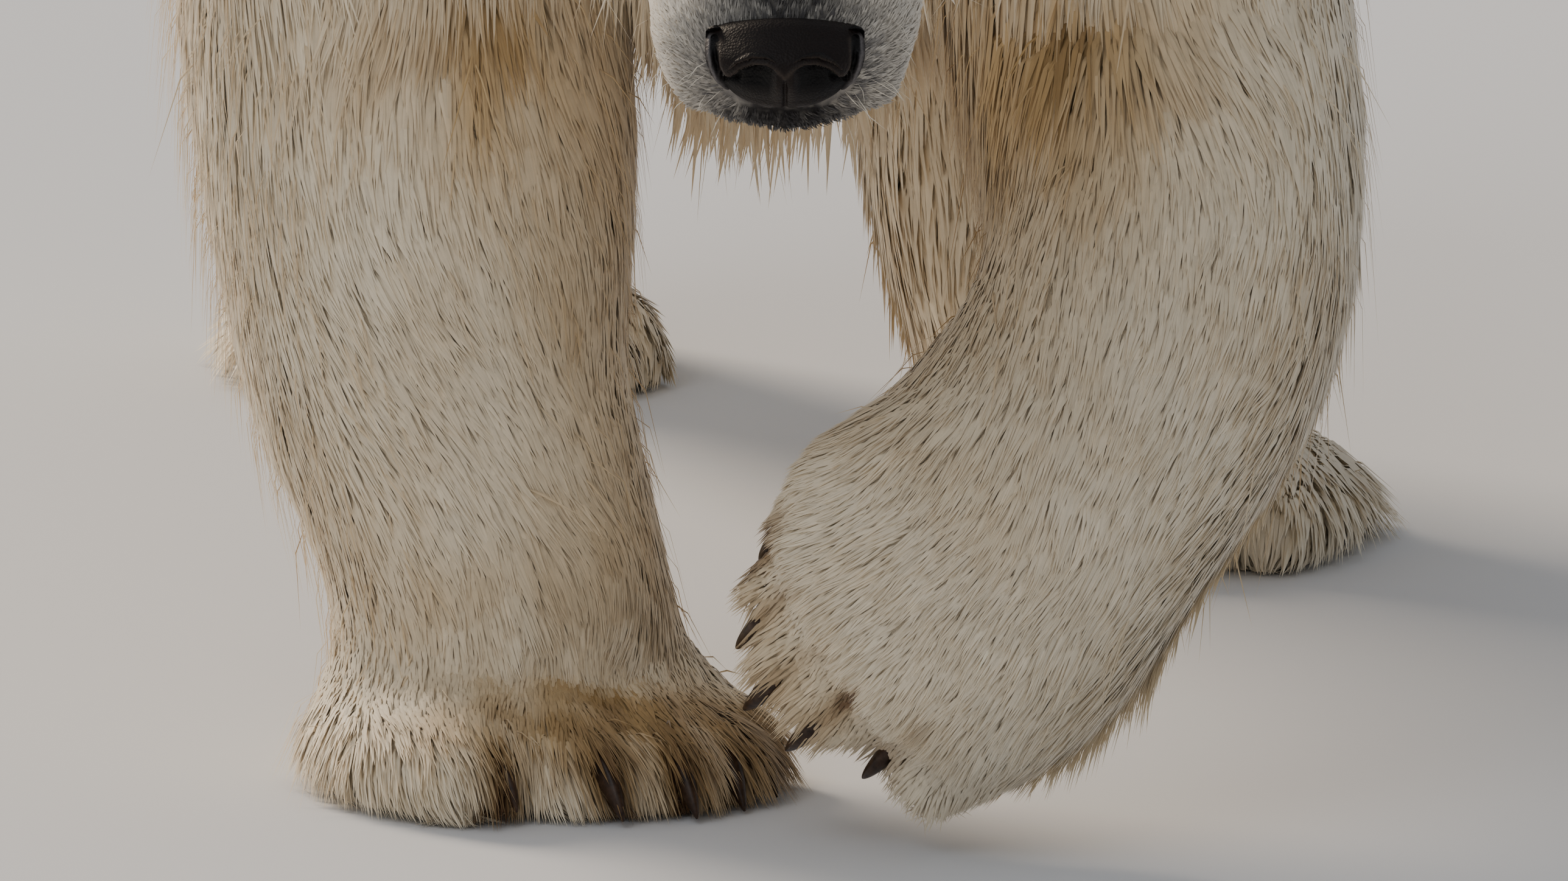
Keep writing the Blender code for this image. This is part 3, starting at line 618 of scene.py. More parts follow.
def make_skin():
    """The flesh nodes fused, softened where they are plain, and sunk by the coat's depth."""
    obj = link("skin", joined_flesh())
    remesh = obj.modifiers.new("fuse", "REMESH")
    remesh.mode = "VOXEL"
    remesh.voxel_size = SKIN_VOXEL
    apply_modifiers(obj)
    points, _ = vertex_arrays(obj.data)
    plain = obj.vertex_groups.new(name="plain")
    plainness = 1 - fineness(points)
    for i, weight in enumerate(plainness):
        plain.add((i,), weight, "REPLACE")
    for passes, group in ((FINE_SMOOTHING, ""), (PLAIN_SMOOTHING, "plain")):
        soften = obj.modifiers.new("soften", "SMOOTH")
        soften.factor = 0.5
        soften.iterations = passes
        soften.vertex_group = group
    apply_modifiers(obj)
    points, normals = vertex_arrays(obj.data)
    depth = coat_measures(points, normals)["depth"]
    move_vertices(obj.data, points - normals * (depth + elbow_fold(points))[:, None])
    thin = obj.modifiers.new("thin", "DECIMATE")
    thin.ratio = SKIN_FACES / len(obj.data.polygons)
    thin.vertex_group = "plain"
    apply_modifiers(obj)
    obj.vertex_groups.clear()
    return obj


def refine(mesh, wanted, rounds):
    """Splits the faces near fine features: wanted(points) says which vertices they are."""
    for _ in range(rounds):
        points, _ = vertex_arrays(mesh)
        chosen = wanted(points)
        form = bmesh.new()
        form.from_mesh(mesh)
        form.verts.ensure_lookup_table()
        edges = [edge for edge in form.edges if all(chosen[vert.index] for vert in edge.verts)]
        bmesh.ops.subdivide_edges(form, edges=edges, cuts=1, use_grid_fill=True, smooth=0.0)
        bmesh.ops.triangulate(form, faces=[face for face in form.faces if len(face.verts) > 4])
        form.to_mesh(mesh)
        form.free()
        mesh.update()


def near_eyes(points, reach):
    return np.min([gap_to(points, eye_centre(word)) for word in SIDES], axis=0) < reach


def near_lips(points, reach):
    head = to_head(points)
    return np.minimum(path_distance(head, mouth_path(LEFT)), path_distance(head, mouth_path(RIGHT))) < reach


def sculpt_face(obj):
    """Lips, the mouth's slit, the slimmer lower jaw, and the hollows that the eyes lie in."""
    refine(obj.data, lambda p: near_eyes(p, 0.045) | near_lips(p, 0.016), 1)
    refine(obj.data, lambda p: near_eyes(p, 0.026) | near_lips(p, 0.009), 1)
    points, normals = vertex_arrays(obj.data)
    head = to_head(points)
    turn = np.array(HEAD.to_3x3())
    for side in SIDES.values():
        path = mouth_path(side)
        gap = path_distance(head, path)
        line = np.interp(head[:, 1], [p[1] for p in path], [p[2] for p in path])
        on_side = (head[:, 0] * side >= -0.002) & (head[:, 1] > -0.02) & (head[:, 1] < 0.185)
        slit = hill(gap, 0.0028) * 0.0045
        fold = hill(gap - 0.007, 0.0035) * 0.0012 * (head[:, 2] > line)
        jaw = np.clip((line - head[:, 2]) / 0.006, 0, 1) * 0.004 * np.clip((0.185 - head[:, 1]) / 0.03, 0, 1)
        jaw *= head[:, 2] > line - 0.05
        push = (fold - slit - jaw) * on_side
        points = points + normals * push[:, None]
    lip = bump_at(head, (0, 0.010, -0.038), (0.026, 0.020, 0.014)) * 0.006
    points = points - lip[:, None] * turn[:, 2]
    for word in SIDES:
        points = shape_lids(points, normals, word)
        points = shape_ear(points, normals, word)
    move_vertices(obj.data, points)


def shape_lids(points, normals, word):
    """Draws the skin over the eyeball as two lids, with the brow above them and the socket round them."""
    centre, axes = eye_axes(word)
    turn = np.array(axes)
    local, _ = seen_by_eye(points, word)
    gap = np.hypot(local[:, 0], local[:, 1])
    near = (np.linalg.norm(local, axis=1) < 0.05) & (local[:, 2] > -0.006)
    socket = 0.0022 * hill(gap - 0.019, 0.006)
    brow = 0.0035 * hill(local[:, 0], 0.020) * hill(local[:, 1] - 0.019, 0.008)
    points = points + normals * ((brow - socket) * near)[:, None]
    local, out = seen_by_eye(points, word)
    gap = np.hypot(local[:, 0], local[:, 1])
    lid = np.sqrt(np.maximum((EYE_RADIUS + LID) ** 2 - gap**2, 0))
    soft = 0.0010
    height = np.logaddexp(local[:, 2] / soft, lid / soft) * soft
    behind = np.sqrt(np.maximum(EYE_RADIUS**2 - gap**2, 0)) - 0.003
    height = np.where(out < 1, behind, height)
    local[:, 2] = np.where(near & (gap < 0.024), height, local[:, 2])
    return np.where(near[:, None], np.array(centre) + local @ turn.T, points)


def shape_ear(points, normals, word):
    """Hollows the ear's cup."""
    facing = np.array(ear_facing(word))
    cup = bump_at(points, np.array(ear_middle(word)) + facing * 0.010, (0.020, 0.020, 0.026))
    return points - normals * (0.006 * cup * np.clip(normals @ facing, 0, 1))[:, None]


def paint(mesh, colours):
    """Stores a colour for each vertex."""
    layer = mesh.color_attributes.new("coat", "FLOAT_COLOR", "POINT")
    rgba = np.ones((len(mesh.vertices), 4), np.float32)
    rgba[:, :3] = np.clip(colours, 0, 1)
    layer.data.foreach_set("color", rgba.ravel())


def unwrap(obj):
    """Gives the skin its map for baking, on which every tuft has its own small patch."""
    obj.data.uv_layers.new(name="OFBake")
    bpy.context.view_layer.objects.active = obj
    obj.select_set(True)
    bpy.ops.object.mode_set(mode="EDIT")
    bpy.ops.mesh.select_all(action="SELECT")
    bpy.ops.uv.smart_project(angle_limit=math.radians(66), island_margin=0.001)
    bpy.ops.object.mode_set(mode="OBJECT")


# ---- tufts ---------------------------------------------------------------------------------------
class Ground:
    """The skin as arrays that tufts are scattered over."""

    def __init__(self, mesh):
        mesh.calc_loop_triangles()
        count = len(mesh.loop_triangles)
        corners = np.empty(count * 3, np.int32)
        loops = np.empty(count * 3, np.int32)
        mesh.loop_triangles.foreach_get("vertices", corners)
        mesh.loop_triangles.foreach_get("loops", loops)
        self.corners, self.loops = corners.reshape(-1, 3), loops.reshape(-1, 3)
        self.points, self.normals = vertex_arrays(mesh)
        uv = np.empty(len(mesh.loops) * 2, np.float32)
        mesh.uv_layers["OFBake"].data.foreach_get("uv", uv)
        self.uv = uv.reshape(-1, 2)
        a, b, c = (self.points[self.corners[:, i]] for i in range(3))
        self.areas = np.linalg.norm(np.cross(b - a, c - a), axis=1) / 2
        self.middles = (a + b + c) / 3

    def scatter(self, density, rng):
        """Roots at that many to the square metre: (points, normals, uv, mean spacing)."""
        running = np.cumsum(self.areas * density)
        count = int(running[-1])
        stops = (np.arange(count) + rng.uniform(0, 1, count)).clip(0, running[-1] * 0.999999)
        picks = np.searchsorted(running, stops)
        first, second = rng.uniform(0, 1, (2, count))
        flip = first + second > 1
        first[flip], second[flip] = 1 - first[flip], 1 - second[flip]
        shares = np.stack([1 - first - second, first, second], axis=1)[:, :, None]
        points = (self.points[self.corners[picks]] * shares).sum(1)
        normals = unit((self.normals[self.corners[picks]] * shares).sum(1))
        uv = (self.uv[self.loops[picks]] * shares).sum(1)
        return points, normals, uv, density[picks] ** -0.5


def spread_out(points, gaps):
    """Which points stay, so that few are nearer to another than their gap."""
    tree = kdtree.KDTree(len(points))
    for i, point in enumerate(points):
        tree.insert(point, i)
    tree.balance()
    pairs = [tree.find_n(point, 2)[1] for point in points]
    other = np.array([pair[1] for pair in pairs])
    reach = np.array([pair[2] for pair in pairs])
    return (reach > gaps) | (np.arange(len(points)) < other)


def bare(points):
    """Where no hair grows: under the nose, by the eyes and in the slit of the mouth."""
    head = to_head(points)
    up = head @ np.array((0, math.sin(NOSE_VIEW), math.cos(NOSE_VIEW)))
    half = np.interp(up, (-0.0145, -0.0142, -0.0105, 0.0005, 0.0120, 0.0270, 0.0340, 0.0350),
                     (-1.0, 0.0100, 0.0240, 0.0370, 0.0430, 0.0430, 0.0330, -1.0))
    across = np.abs(head[:, 0])
    nose = (across < half) & (head[:, 1] < 0.034) & ~((across > 0.0385) & (head[:, 1] > 0.019))
    lids = np.zeros(len(points), bool)
    for word in SIDES:
        local, out = seen_by_eye(points, word)
        lids |= (out < 1.5) & (local[:, 2] > 0)
    return nose | lids | near_lips(points, 0.0025)


def along_skin(vectors, normals):
    """What is left of the vectors in the plane of the skin."""
    return vectors - (vectors * normals).sum(1, keepdims=True) * normals


def shape_tufts(roots, normals, uv, coat, rng, loose=0.0):
    """The curves, widths and colours of tufts with these roots. Loose ones stand out and turn more freely."""
    count = len(roots)
    lie = along_skin(coat["lie"], normals)
    # hair that would point straight into the skin or out of it lies backwards instead
    weak = np.clip(1 - np.linalg.norm(lie, axis=1) / 0.5, 0, 1)
    lie = unit(lie + weak[:, None] * along_skin(np.array((0.0, 1.0, 0.0)), normals))
    lie = unit(along_skin(lie + (0.10 + 0.20 * loose) * rng.normal(size=(count, 3)), normals))
    length = coat["length"] * rng.uniform(0.65, 1.2, count)
    rise = coat["depth"] * rng.uniform(0.3, 0.95, count) * (1 + loose)
    rise += coat["lift"] * rng.uniform(0.5, 1.1, count)
    middle = roots + normals * (rise * BEND_RISE)[:, None] + lie * (length * BEND)[:, None]
    tip = roots + normals * rise[:, None] + lie * length[:, None]
    droop = np.clip(length - 0.03, 0, 1) * (0.30 + 0.3 * loose)
    tip[:, 2] -= droop
    middle[:, 2] -= droop * 0.2

    # neighbouring tips lean together into locks
    leaders = np.arange(0, count, LOCK)
    tree = kdtree.KDTree(len(leaders))
    for i, leader in enumerate(leaders):
        tree.insert(roots[leader], i)
    tree.balance()
    nearest = leaders[np.array([tree.find(root)[1] for root in roots])]
    pull = tip[nearest] - tip
    share = rng.uniform(0.25, 0.70, count) * hill(np.linalg.norm(pull, axis=1), 1.5 * length)
    tip += pull * share[:, None]
    middle += pull * (share * 0.35)[:, None]

    tone = rng.normal(1, 0.035, count)[nearest] * rng.normal(1, 0.04, count)
    return {
        "roots": roots,
        "normals": normals,
        "uv": uv,
        "middle": middle,
        "tip": tip,
        "width": coat["width"] * rng.uniform(0.7, 1.25, count),
        "colours": markings(roots, normals, coat["kinds"]) * tone[:, None],
        "bone": coat["weights"].argmax(1),
        "own_shade": np.full(count, 0.25 + 0.60 * loose),
    }


def grow_fur(ground, rng):
    """The coat itself, with its roots spread evenly."""
    measures = coat_measures(ground.middles, ground.normals[ground.corners].mean(1))
    density = measures["density"] * CROWD * FULL_COAT * (1 - 0.9 * measures["sole"])
    roots, normals, uv, spacing = ground.scatter(density, rng)
    keep = ~bare(roots) & spread_out(roots, ROOT_GAP * spacing)
    roots, normals, uv = roots[keep], normals[keep], uv[keep]
    return shape_tufts(roots, normals, uv, coat_measures(roots, normals), rng)


def wisp_shares(points, normals, kinds):
    """How thickly guard hairs grow at each point, and how near the belly, the edges and the claws are."""
    outer = np.clip(normals[:, 0] * np.sign(points[:, 0]), 0, 1)
    inner = np.clip(-normals[:, 0] * np.sign(points[:, 0]), 0, 1)
    rear = np.clip(normals[:, 1], 0, 1)
    arms = kinds["forearm"] + kinds["upper_arm"]
    legs = arms + kinds["shank"] + kinds["thigh"]
    paws = kinds["fore_paw"] + kinds["foot"]
    belly = np.clip(-normals[:, 2], 0, 1) * (kinds["trunk"] + kinds["upper_arm"] + kinds["neck"])
    edges = outer * arms * np.where(points[:, 0] < 0, 1.3, 0.5) + 0.7 * inner * arms
    claws = sum(hill(gap_to(points, base), 0.018) for _, base, _ in PAWS["fore_right"].claws)
    thickness = 0.9 * legs * rear + edges + 1.5 * belly + paws * (0.6 * rear + 0.5 * outer) + 7.0 * claws
    return thickness, belly, edges, claws


def grow_wisps(ground, rng):
    """Long thin guard hairs that stand out behind the legs, under the body and round the elbows, with a
    golden glow of back light painted into their colour.
    """
    normals = ground.normals[ground.corners].mean(1)
    kinds = coat_measures(ground.middles, normals)["kinds"]
    thickness = wisp_shares(ground.middles, normals, kinds)[0]
    roots, normals, uv, _ = ground.scatter(WISPS * FULL_COAT * thickness, rng)
    keep = ~bare(roots) & (roots[:, 2] > 0.012)
    roots, normals, uv = roots[keep], normals[keep], uv[keep]
    coat = coat_measures(roots, normals)
    paws = coat["kinds"]["fore_paw"] + coat["kinds"]["foot"]
    _, belly, edges, claws = wisp_shares(roots, normals, coat["kinds"])
    edges, claws = edges.clip(0, 1), claws.clip(0, 1)
    elbows = sum(bump_at(roots, centre, (0.12, 0.12, 0.10)) for centre in ELBOWS)
    share = 1 - 0.50 * paws + 0.5 * belly + 0.5 * elbows
    coat["length"] = WISP_LENGTH * share * rng.uniform(0.6, 1.3, len(roots))
    coat["length"] *= 1 - 0.10 * claws
    coat["lift"] += 0.014 * edges * rng.uniform(0, 1, len(roots))
    coat["width"] = np.full(len(roots), WISP_WIDTH)
    part = shape_tufts(roots, normals, uv, coat, rng, loose=1.0)
    # painted light: the guard hairs are tinted gold for the warm glow of light shining through them from
    # behind, most along the edges of the arms; by the claws the tint also matches the toes' gold stains
    part["colours"] = mix(part["colours"], GOLD, 0.25 + 0.35 * np.maximum(edges, claws))
    return part


def tuft_mesh(name, coat, chosen):
    """One mesh of many tufts: each is a closed three-sided spindle, widest at its bend."""
    part = {key: value[chosen] for key, value in coat.items()}
    count = len(part["roots"])
    lie = unit(part["tip"] - part["roots"])
    across = unit(np.cross(lie, part["normals"]))
    out = unit(np.cross(across, lie))
    half = part["width"][:, None] / 2
    middle = part["middle"]
    points = np.stack([
        part["roots"] - part["normals"] * ROOT_DEPTH,
        middle - across * half,
        middle + across * half,
        middle + out * half * 0.45,
        part["tip"],
    ], axis=1)
    points[..., 2] = np.maximum(points[..., 2], OFF_FLOOR)
    root, left, right, ridge, tip = range(5)
    faces = np.array(((root, ridge, left), (tip, left, ridge), (root, right, ridge), (tip, ridge, right),
                      (root, left, right), (tip, right, left)))
    corners = faces.ravel()
    order = np.arange(count)[:, None]
    loop_verts = (order * 5 + corners).ravel()
    mesh = bpy.data.meshes.new(name)
    mesh.vertices.add(count * 5)
    mesh.vertices.foreach_set("co", points.astype(np.float32).ravel())
    mesh.loops.add(count * 18)
    mesh.loops.foreach_set("vertex_index", loop_verts.astype(np.int32))
    mesh.polygons.add(count * 6)
    mesh.polygons.foreach_set("loop_start", np.arange(0, count * 18, 3, dtype=np.int32))
    mesh.polygons.foreach_set("loop_total", np.full(count * 6, 3, np.int32))
    mesh.polygons.foreach_set("use_smooth", np.ones(count * 6, bool))
    mesh.update(calc_edges=True)

    patch = PATCH * (np.array(((0.5, 0), (0, 0.4), (1, 0.4), (0.5, 0.4), (0.5, 1))) - 0.5)
    uv = (part["uv"][:, None, :] + patch).reshape(-1, 2)
    layer = mesh.uv_layers.new(name="OFBake")
    layer.data.foreach_set("uv", uv[loop_verts].astype(np.float32).ravel())

    tones = np.array((0.92, 0.98, 0.98, 1.0, 1.03))
    paint(mesh, (part["colours"][:, None, :] * tones[:, None]).reshape(-1, 3))

    # the tufts shade mostly as the skin below them does, so that the coat looks soft
    sides = unit(0.8 * out - 0.6 * across), unit(0.8 * out + 0.6 * across)
    above = np.stack([out, *sides, out, out], axis=1)
    own = part["own_shade"][:, None, None]
    above = unit((above * own + part["normals"][:, None, :] * (1 - own)).reshape(-1, 3)).reshape(-1, 5, 3)
    shading = above[:, corners]
    shading[:, 12:] = -out[:, None, :]
    mesh.normals_split_custom_set(shading.reshape(-1, 3).astype(np.float32))
    return link(name, mesh)


def coat_groups():
    """Which bones' tufts go into which piece: (piece, slot, bone names, side of the trunk)."""
    groups = [
        ("coat_trunk_left", "body_coat", ["trunk"], LEFT),
        ("coat_trunk_right", "body_coat", ["trunk", "tail"], RIGHT),
        ("coat_neck", "body_coat", ["neck"], 0),
        ("coat_head", "head_coat", ["skull", "muzzle", "ear_left", "ear_right"], 0),
    ]
    for leg, paw in PAWS.items():
        for word in ("upper_arm", "forearm") if paw.fore else ("thigh", "shank"):
            groups.append((f"coat_{leg}_{word}", "body_coat", [f"{leg}_{word}"], 0))
        groups.append((f"coat_{paw.node}", "paw_coat", [paw.node], 0))
    return groups


# ---- materials -----------------------------------------------------------------------------------
def new_material(name, colour=(0.5, 0.5, 0.5), roughness=0.6):
    """(material, node tree, shader)"""
    material = bpy.data.materials.new(name)
    material.use_nodes = True
    shader = material.node_tree.nodes["Principled BSDF"]
    shader.inputs["Base Color"].default_value = (*colour, 1)
    shader.inputs["Roughness"].default_value = roughness
    return material, material.node_tree, shader


def add_node(tree, kind, **values):
    """A node with those values on its sockets, or on itself where it has no such socket."""
    node = tree.nodes.new(kind)
    for key, value in values.items():
        if key in node.inputs:
            node.inputs[key].default_value = value
        else:
            setattr(node, key, value)
    return node


def add_bump(tree, shader, height, strength, distance):
    bump = add_node(tree, "ShaderNodeBump", Strength=strength, Distance=distance)
    tree.links.new(height, bump.inputs["Height"])
    tree.links.new(bump.outputs["Normal"], shader.inputs["Normal"])


def object_texture(tree, kind, **values):
    """A texture laid out in the bear's own space."""
    place = add_node(tree, "ShaderNodeTexCoord")
    texture = add_node(tree, kind, **values)
    tree.links.new(place.outputs["Object"], texture.inputs["Vector"])
    return texture


def painted_material(name, roughness, specular, texture, output, least, most):
    """The painted colours, made darker and lighter by a texture."""
    material, tree, shader = new_material(name, roughness=roughness)
    shader.inputs["Specular IOR Level"].default_value = specular
    colour = add_node(tree, "ShaderNodeVertexColor", layer_name="coat")
    factor = object_texture(tree, **texture).outputs[output]
    ramp = add_node(tree, "ShaderNodeMapRange")
    ramp.inputs["To Min"].default_value = least
    ramp.inputs["To Max"].default_value = most
    tree.links.new(factor, ramp.inputs["Value"])
    shade = add_node(tree, "ShaderNodeVectorMath", operation="SCALE")
    tree.links.new(colour.outputs["Color"], shade.inputs[0])
    tree.links.new(ramp.outputs["Result"], shade.inputs["Scale"])
    tree.links.new(shade.outputs["Vector"], shader.inputs["Base Color"])
    return material, tree, shader, factor


def nose_material():
    """Fine pebbles over the painted nose."""
    pebbles = {"kind": "ShaderNodeTexVoronoi", "Scale": 700.0}
    material, tree, shader, factor = painted_material("nose", 0.5, 0.18, pebbles, "Distance", 0.75, 1.35)
    add_bump(tree, shader, factor, 0.4, 0.0007)
    return material


def hair_material():
    mottle = {"kind": "ShaderNodeTexNoise", "Scale": 160.0, "Detail": 3.0}
    material, _, shader, _ = painted_material("coat", 0.55, 0.25, mottle, "Fac", 0.90, 1.10)
    shader.inputs["Sheen Weight"].default_value = 0.35
    shader.inputs["Sheen Roughness"].default_value = 0.45
    return material


def skin_material():
    grain = {"kind": "ShaderNodeTexNoise", "Scale": 420.0, "Detail": 4.0, "Roughness": 0.6}
    material, tree, shader, factor = painted_material("skin", 0.7, 0.2, grain, "Fac", 0.88, 1.08)
    add_bump(tree, shader, factor, 0.6, 0.002)
    return material


def add_ramp(tree, factor, shader, low, high, ends=(0.0, 1.0)):
    """The base colour runs from low to high as the factor runs between the ends."""
    ramp = add_node(tree, "ShaderNodeValToRGB")
    for element, position, colour in zip(ramp.color_ramp.elements, ends, (low, high)):
        element.position = position
        element.color = (*colour, 1)
    tree.links.new(factor, ramp.inputs["Fac"])
    tree.links.new(ramp.outputs["Color"], shader.inputs["Base Color"])


def leather_material(name, colour, roughness, scale, distance):
    """Bare pebbled skin, as on the lids and the pads."""
    material, tree, shader = new_material(name, colour, roughness)
    cells = object_texture(tree, "ShaderNodeTexVoronoi", Scale=scale)
    add_bump(tree, shader, cells.outputs["Distance"], 0.5, distance)
    tone = object_texture(tree, "ShaderNodeTexNoise", Scale=60.0, Detail=3.0)
    pale = [min(c * 2.6 + 0.01, 1) for c in colour]
    add_ramp(tree, tone.outputs["Fac"], shader, colour, pale, ends=(0.35, 0.75))
    return material


def horn_material():
    material, tree, shader = new_material("claw_horn", (0.03, 0.015, 0.009), 0.36)
    shader.inputs["Specular IOR Level"].default_value = 0.3
    grain = object_texture(tree, "ShaderNodeTexNoise", Scale=180.0, Detail=5.0, Roughness=0.65).outputs["Fac"]
    add_ramp(tree, grain, shader, (0.014, 0.007, 0.004), (0.085, 0.045, 0.025), ends=(0.30, 0.80))
    add_bump(tree, shader, grain, 0.25, 0.0006)
    return material


def eye_material(name, colour):
    material, tree, shader = new_material(name, colour, 0.12)
    shader.inputs["Specular IOR Level"].default_value = 0.25
    shader.inputs["Coat Weight"].default_value = 0.4
    shader.inputs["Coat Roughness"].default_value = 0.02
    flecks = object_texture(tree, "ShaderNodeTexNoise", Scale=900.0, Detail=3.0)
    add_ramp(tree, flecks.outputs["Fac"], shader, [c * 0.6 for c in colour], [c * 1.5 for c in colour])
    return material


# ---- eyes, nose, claws and pads ------------------------------------------------------------------
def finish_piece(obj, materials, slot, *nodes):
    """Gives a piece its materials, hangs it from the root and hides the CAD nodes that it replaces; the slot
    is not used.
    """
    for material in materials:
        obj.data.materials.append(material)
    obj.data.shade_smooth()
    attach(obj, "root")
    if nodes:
        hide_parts(*nodes)
    return obj


def ball(name, place, around, down):
    """A sphere of radius 1, put in place by a matrix."""
    form = bmesh.new()
    bmesh.ops.create_uvsphere(form, u_segments=around, v_segments=down, radius=1)
    bmesh.ops.transform(form, matrix=place, verts=form.verts)
    return link(name, mesh_of(form, name))


def lofted(name, rings, closed=True, caps=(True, True)):
    """A surface through rings of points, all of one length."""
    form = bmesh.new()
    rows = [[form.verts.new(point) for point in ring] for ring in rings]
    count = len(rows[0])
    for low, high in zip(rows, rows[1:]):
        for k in range(count if closed else count - 1):
            form.faces.new((low[k], low[(k + 1) % count], high[(k + 1) % count], high[k]))
    if caps[0]:
        form.faces.new(rows[0][::-1])
    if caps[1]:
        form.faces.new(rows[-1])
    bmesh.ops.recalc_face_normals(form, faces=form.faces)
    return link(name, mesh_of(form, name))


def make_claw(name, base, tip, up, material):
    """A curved claw, deeper than it is wide, that comes out of the toe and tapers to a blunt point."""
    run = tip - base
    length = run.length
    base = base - up * length * CLAW_SINK
    start = base - run * 0.16 - up * length * 0.10
    knee = (base + tip) / 2 + up * length * 0.16
    rings = []
    steps, sides = 16, 14
    for i in range(steps + 1):
        t = i / steps
        centre = start * (1 - t) ** 2 + knee * 2 * t * (1 - t) + tip * t * t
        ahead = ((knee - start) * (1 - t) + (tip - knee) * t).normalized()
        across = ahead.cross(up).normalized()
        over = across.cross(ahead)
        thick = length * 0.155 * (1 - t**1.9) ** 0.80 * min(1, 0.6 + 2 * t) + 0.0006
        ring = []
        for a in (2 * math.pi * k / sides for k in range(sides)):
            deep = 1.30 if math.sin(a) > 0 else 1.05
            ring.append(centre + across * thick * math.cos(a) + over * thick * deep * math.sin(a))
        rings.append(ring)
    return finish_piece(lofted(name.replace("claw", "horn"), rings), [material], "claw_horn", name)


def make_eye(word, materials, lid_skin):
    """An eyeball with iris and pupil, and the dark rim that edges its lids."""
    centre, axes = eye_axes(word)
    gaze = axes.col[2]
    place = Matrix.Translation(centre) @ axes.to_4x4() @ Matrix.Scale(EYE_RADIUS, 4)
    eyeball = ball(f"eyeball_{word}", place, 40, 30)
    finish_piece(eyeball, materials, "eye_glass", f"eye_{word}")
    for face in eyeball.data.polygons:
        angle = (face.center - centre).angle(gaze)
        face.material_index = 2 if angle < math.radians(15) else 1 if angle < math.radians(40) else 0
    rings = []
    steps, sides = 48, 10
    for k in range(steps):
        a = 2 * math.pi * k / steps
        x, y = EYE_WIDE * 1.06 * math.cos(a), EYE_TALL * 1.08 * math.sin(a)
        bend = math.hypot(x, y) / EYE_RADIUS
        out = (axes.col[0] * x + axes.col[1] * y).normalized()
        ahead = gaze * math.cos(bend) + out * math.sin(bend)
        beside = out * math.cos(bend) - gaze * math.sin(bend)
        thick = 0.0009 + 0.0004 * max(math.sin(a), 0)
        middle = centre + ahead * (EYE_RADIUS + 0.0007)
        rings.append([
            middle + (ahead * math.sin(b) * 0.8 + beside * math.cos(b)) * thick
            for b in (2 * math.pi * j / sides for j in range(sides))
        ])
    rim = lofted(f"lids_{word}", rings + rings[:1], caps=(False, False))
    weld = rim.modifiers.new("weld", "WELD")
    weld.merge_threshold = 1e-6
    apply_modifiers(rim)
    finish_piece(rim, [lid_skin], "nose_skin")


def smooth_curve(t, knots, values):
    """A smooth line through values at the knots, read at t."""
    knots, values = np.array(knots, float), np.array(values, float)
    slopes = np.gradient(values, knots)
    i = np.clip(np.searchsorted(knots, t) - 1, 0, len(knots) - 2)
    width = knots[i + 1] - knots[i]
    u = np.clip((t - knots[i]) / width, 0, 1)
    return ((1 + 2 * u) * (1 - u) ** 2 * values[i] + u * (1 - u) ** 2 * width * slopes[i]
            + u * u * (3 - 2 * u) * values[i + 1] + u * u * (u - 1) * width * slopes[i + 1])


# Lines of the nose as seen along NOSE_VIEW: (across, up) in metres, for one side.
PAD_RIM = [(0, 0.0030), (0.0040, 0.0068), (0.0105, 0.0104), (0.0185, 0.0108), (0.0250, 0.0084),
           (0.0300, 0.0042), (0.0345, 0.0046), (0.0368, 0.0100), (0.0366, 0.0180), (0.0362, 0.0250)]
WING_RIM = [(0.0420, 0.0270), (0.0425, 0.0180), (0.0408, 0.0090), (0.0370, 0.0005), (0.0310, -0.0062),
            (0.0240, -0.0105), (0.0160, -0.0134), (0.0080, -0.0142)]
SLIT = [(0.026, 0.0), (0.034, 0.0012), (0.0385, 0.010), (0.0393, 0.024)]


def line_gap(across, up, line):
    """Distance in the nose's view to a line of (across, up)."""
    flat = np.stack([across, up, np.zeros(len(up))], axis=1)
    return path_distance(flat, [(*point, 0) for point in line])


def nose_surface(across, down):
    """Head-frame points of the nose without its details: across from -1 to 1, down from 0 at the fur to 1 at
    the lip."""
    stops = (0, 0.12, 0.30, 0.46, 0.58, 0.78, 0.90, 1.0)
    back = smooth_curve(down, stops, (0.042, 0.029, 0.013, -0.001, -0.004, 0.002, 0.008, 0.022))
    up = smooth_curve(down, stops, (0.017, 0.0245, 0.0205, 0.0125, 0.0030, -0.0125, -0.0205, -0.027))
    half = smooth_curve(down, stops, (0.036, 0.0405, 0.0440, 0.0445, 0.0435, 0.0375, 0.0290, 0.015))
    bend = smooth_curve(down, stops, (0.004, 0.008, 0.017, 0.024, 0.024, 0.017, 0.010, 0.004))
    sag = smooth_curve(down, stops, (0.004, 0.010, 0.010, 0.007, 0.002, -0.002, -0.003, 0.0))
    wide = np.abs(across)
    return np.stack([half * across, back + bend * wide**2.6, up - sag * wide**2.2], axis=1)


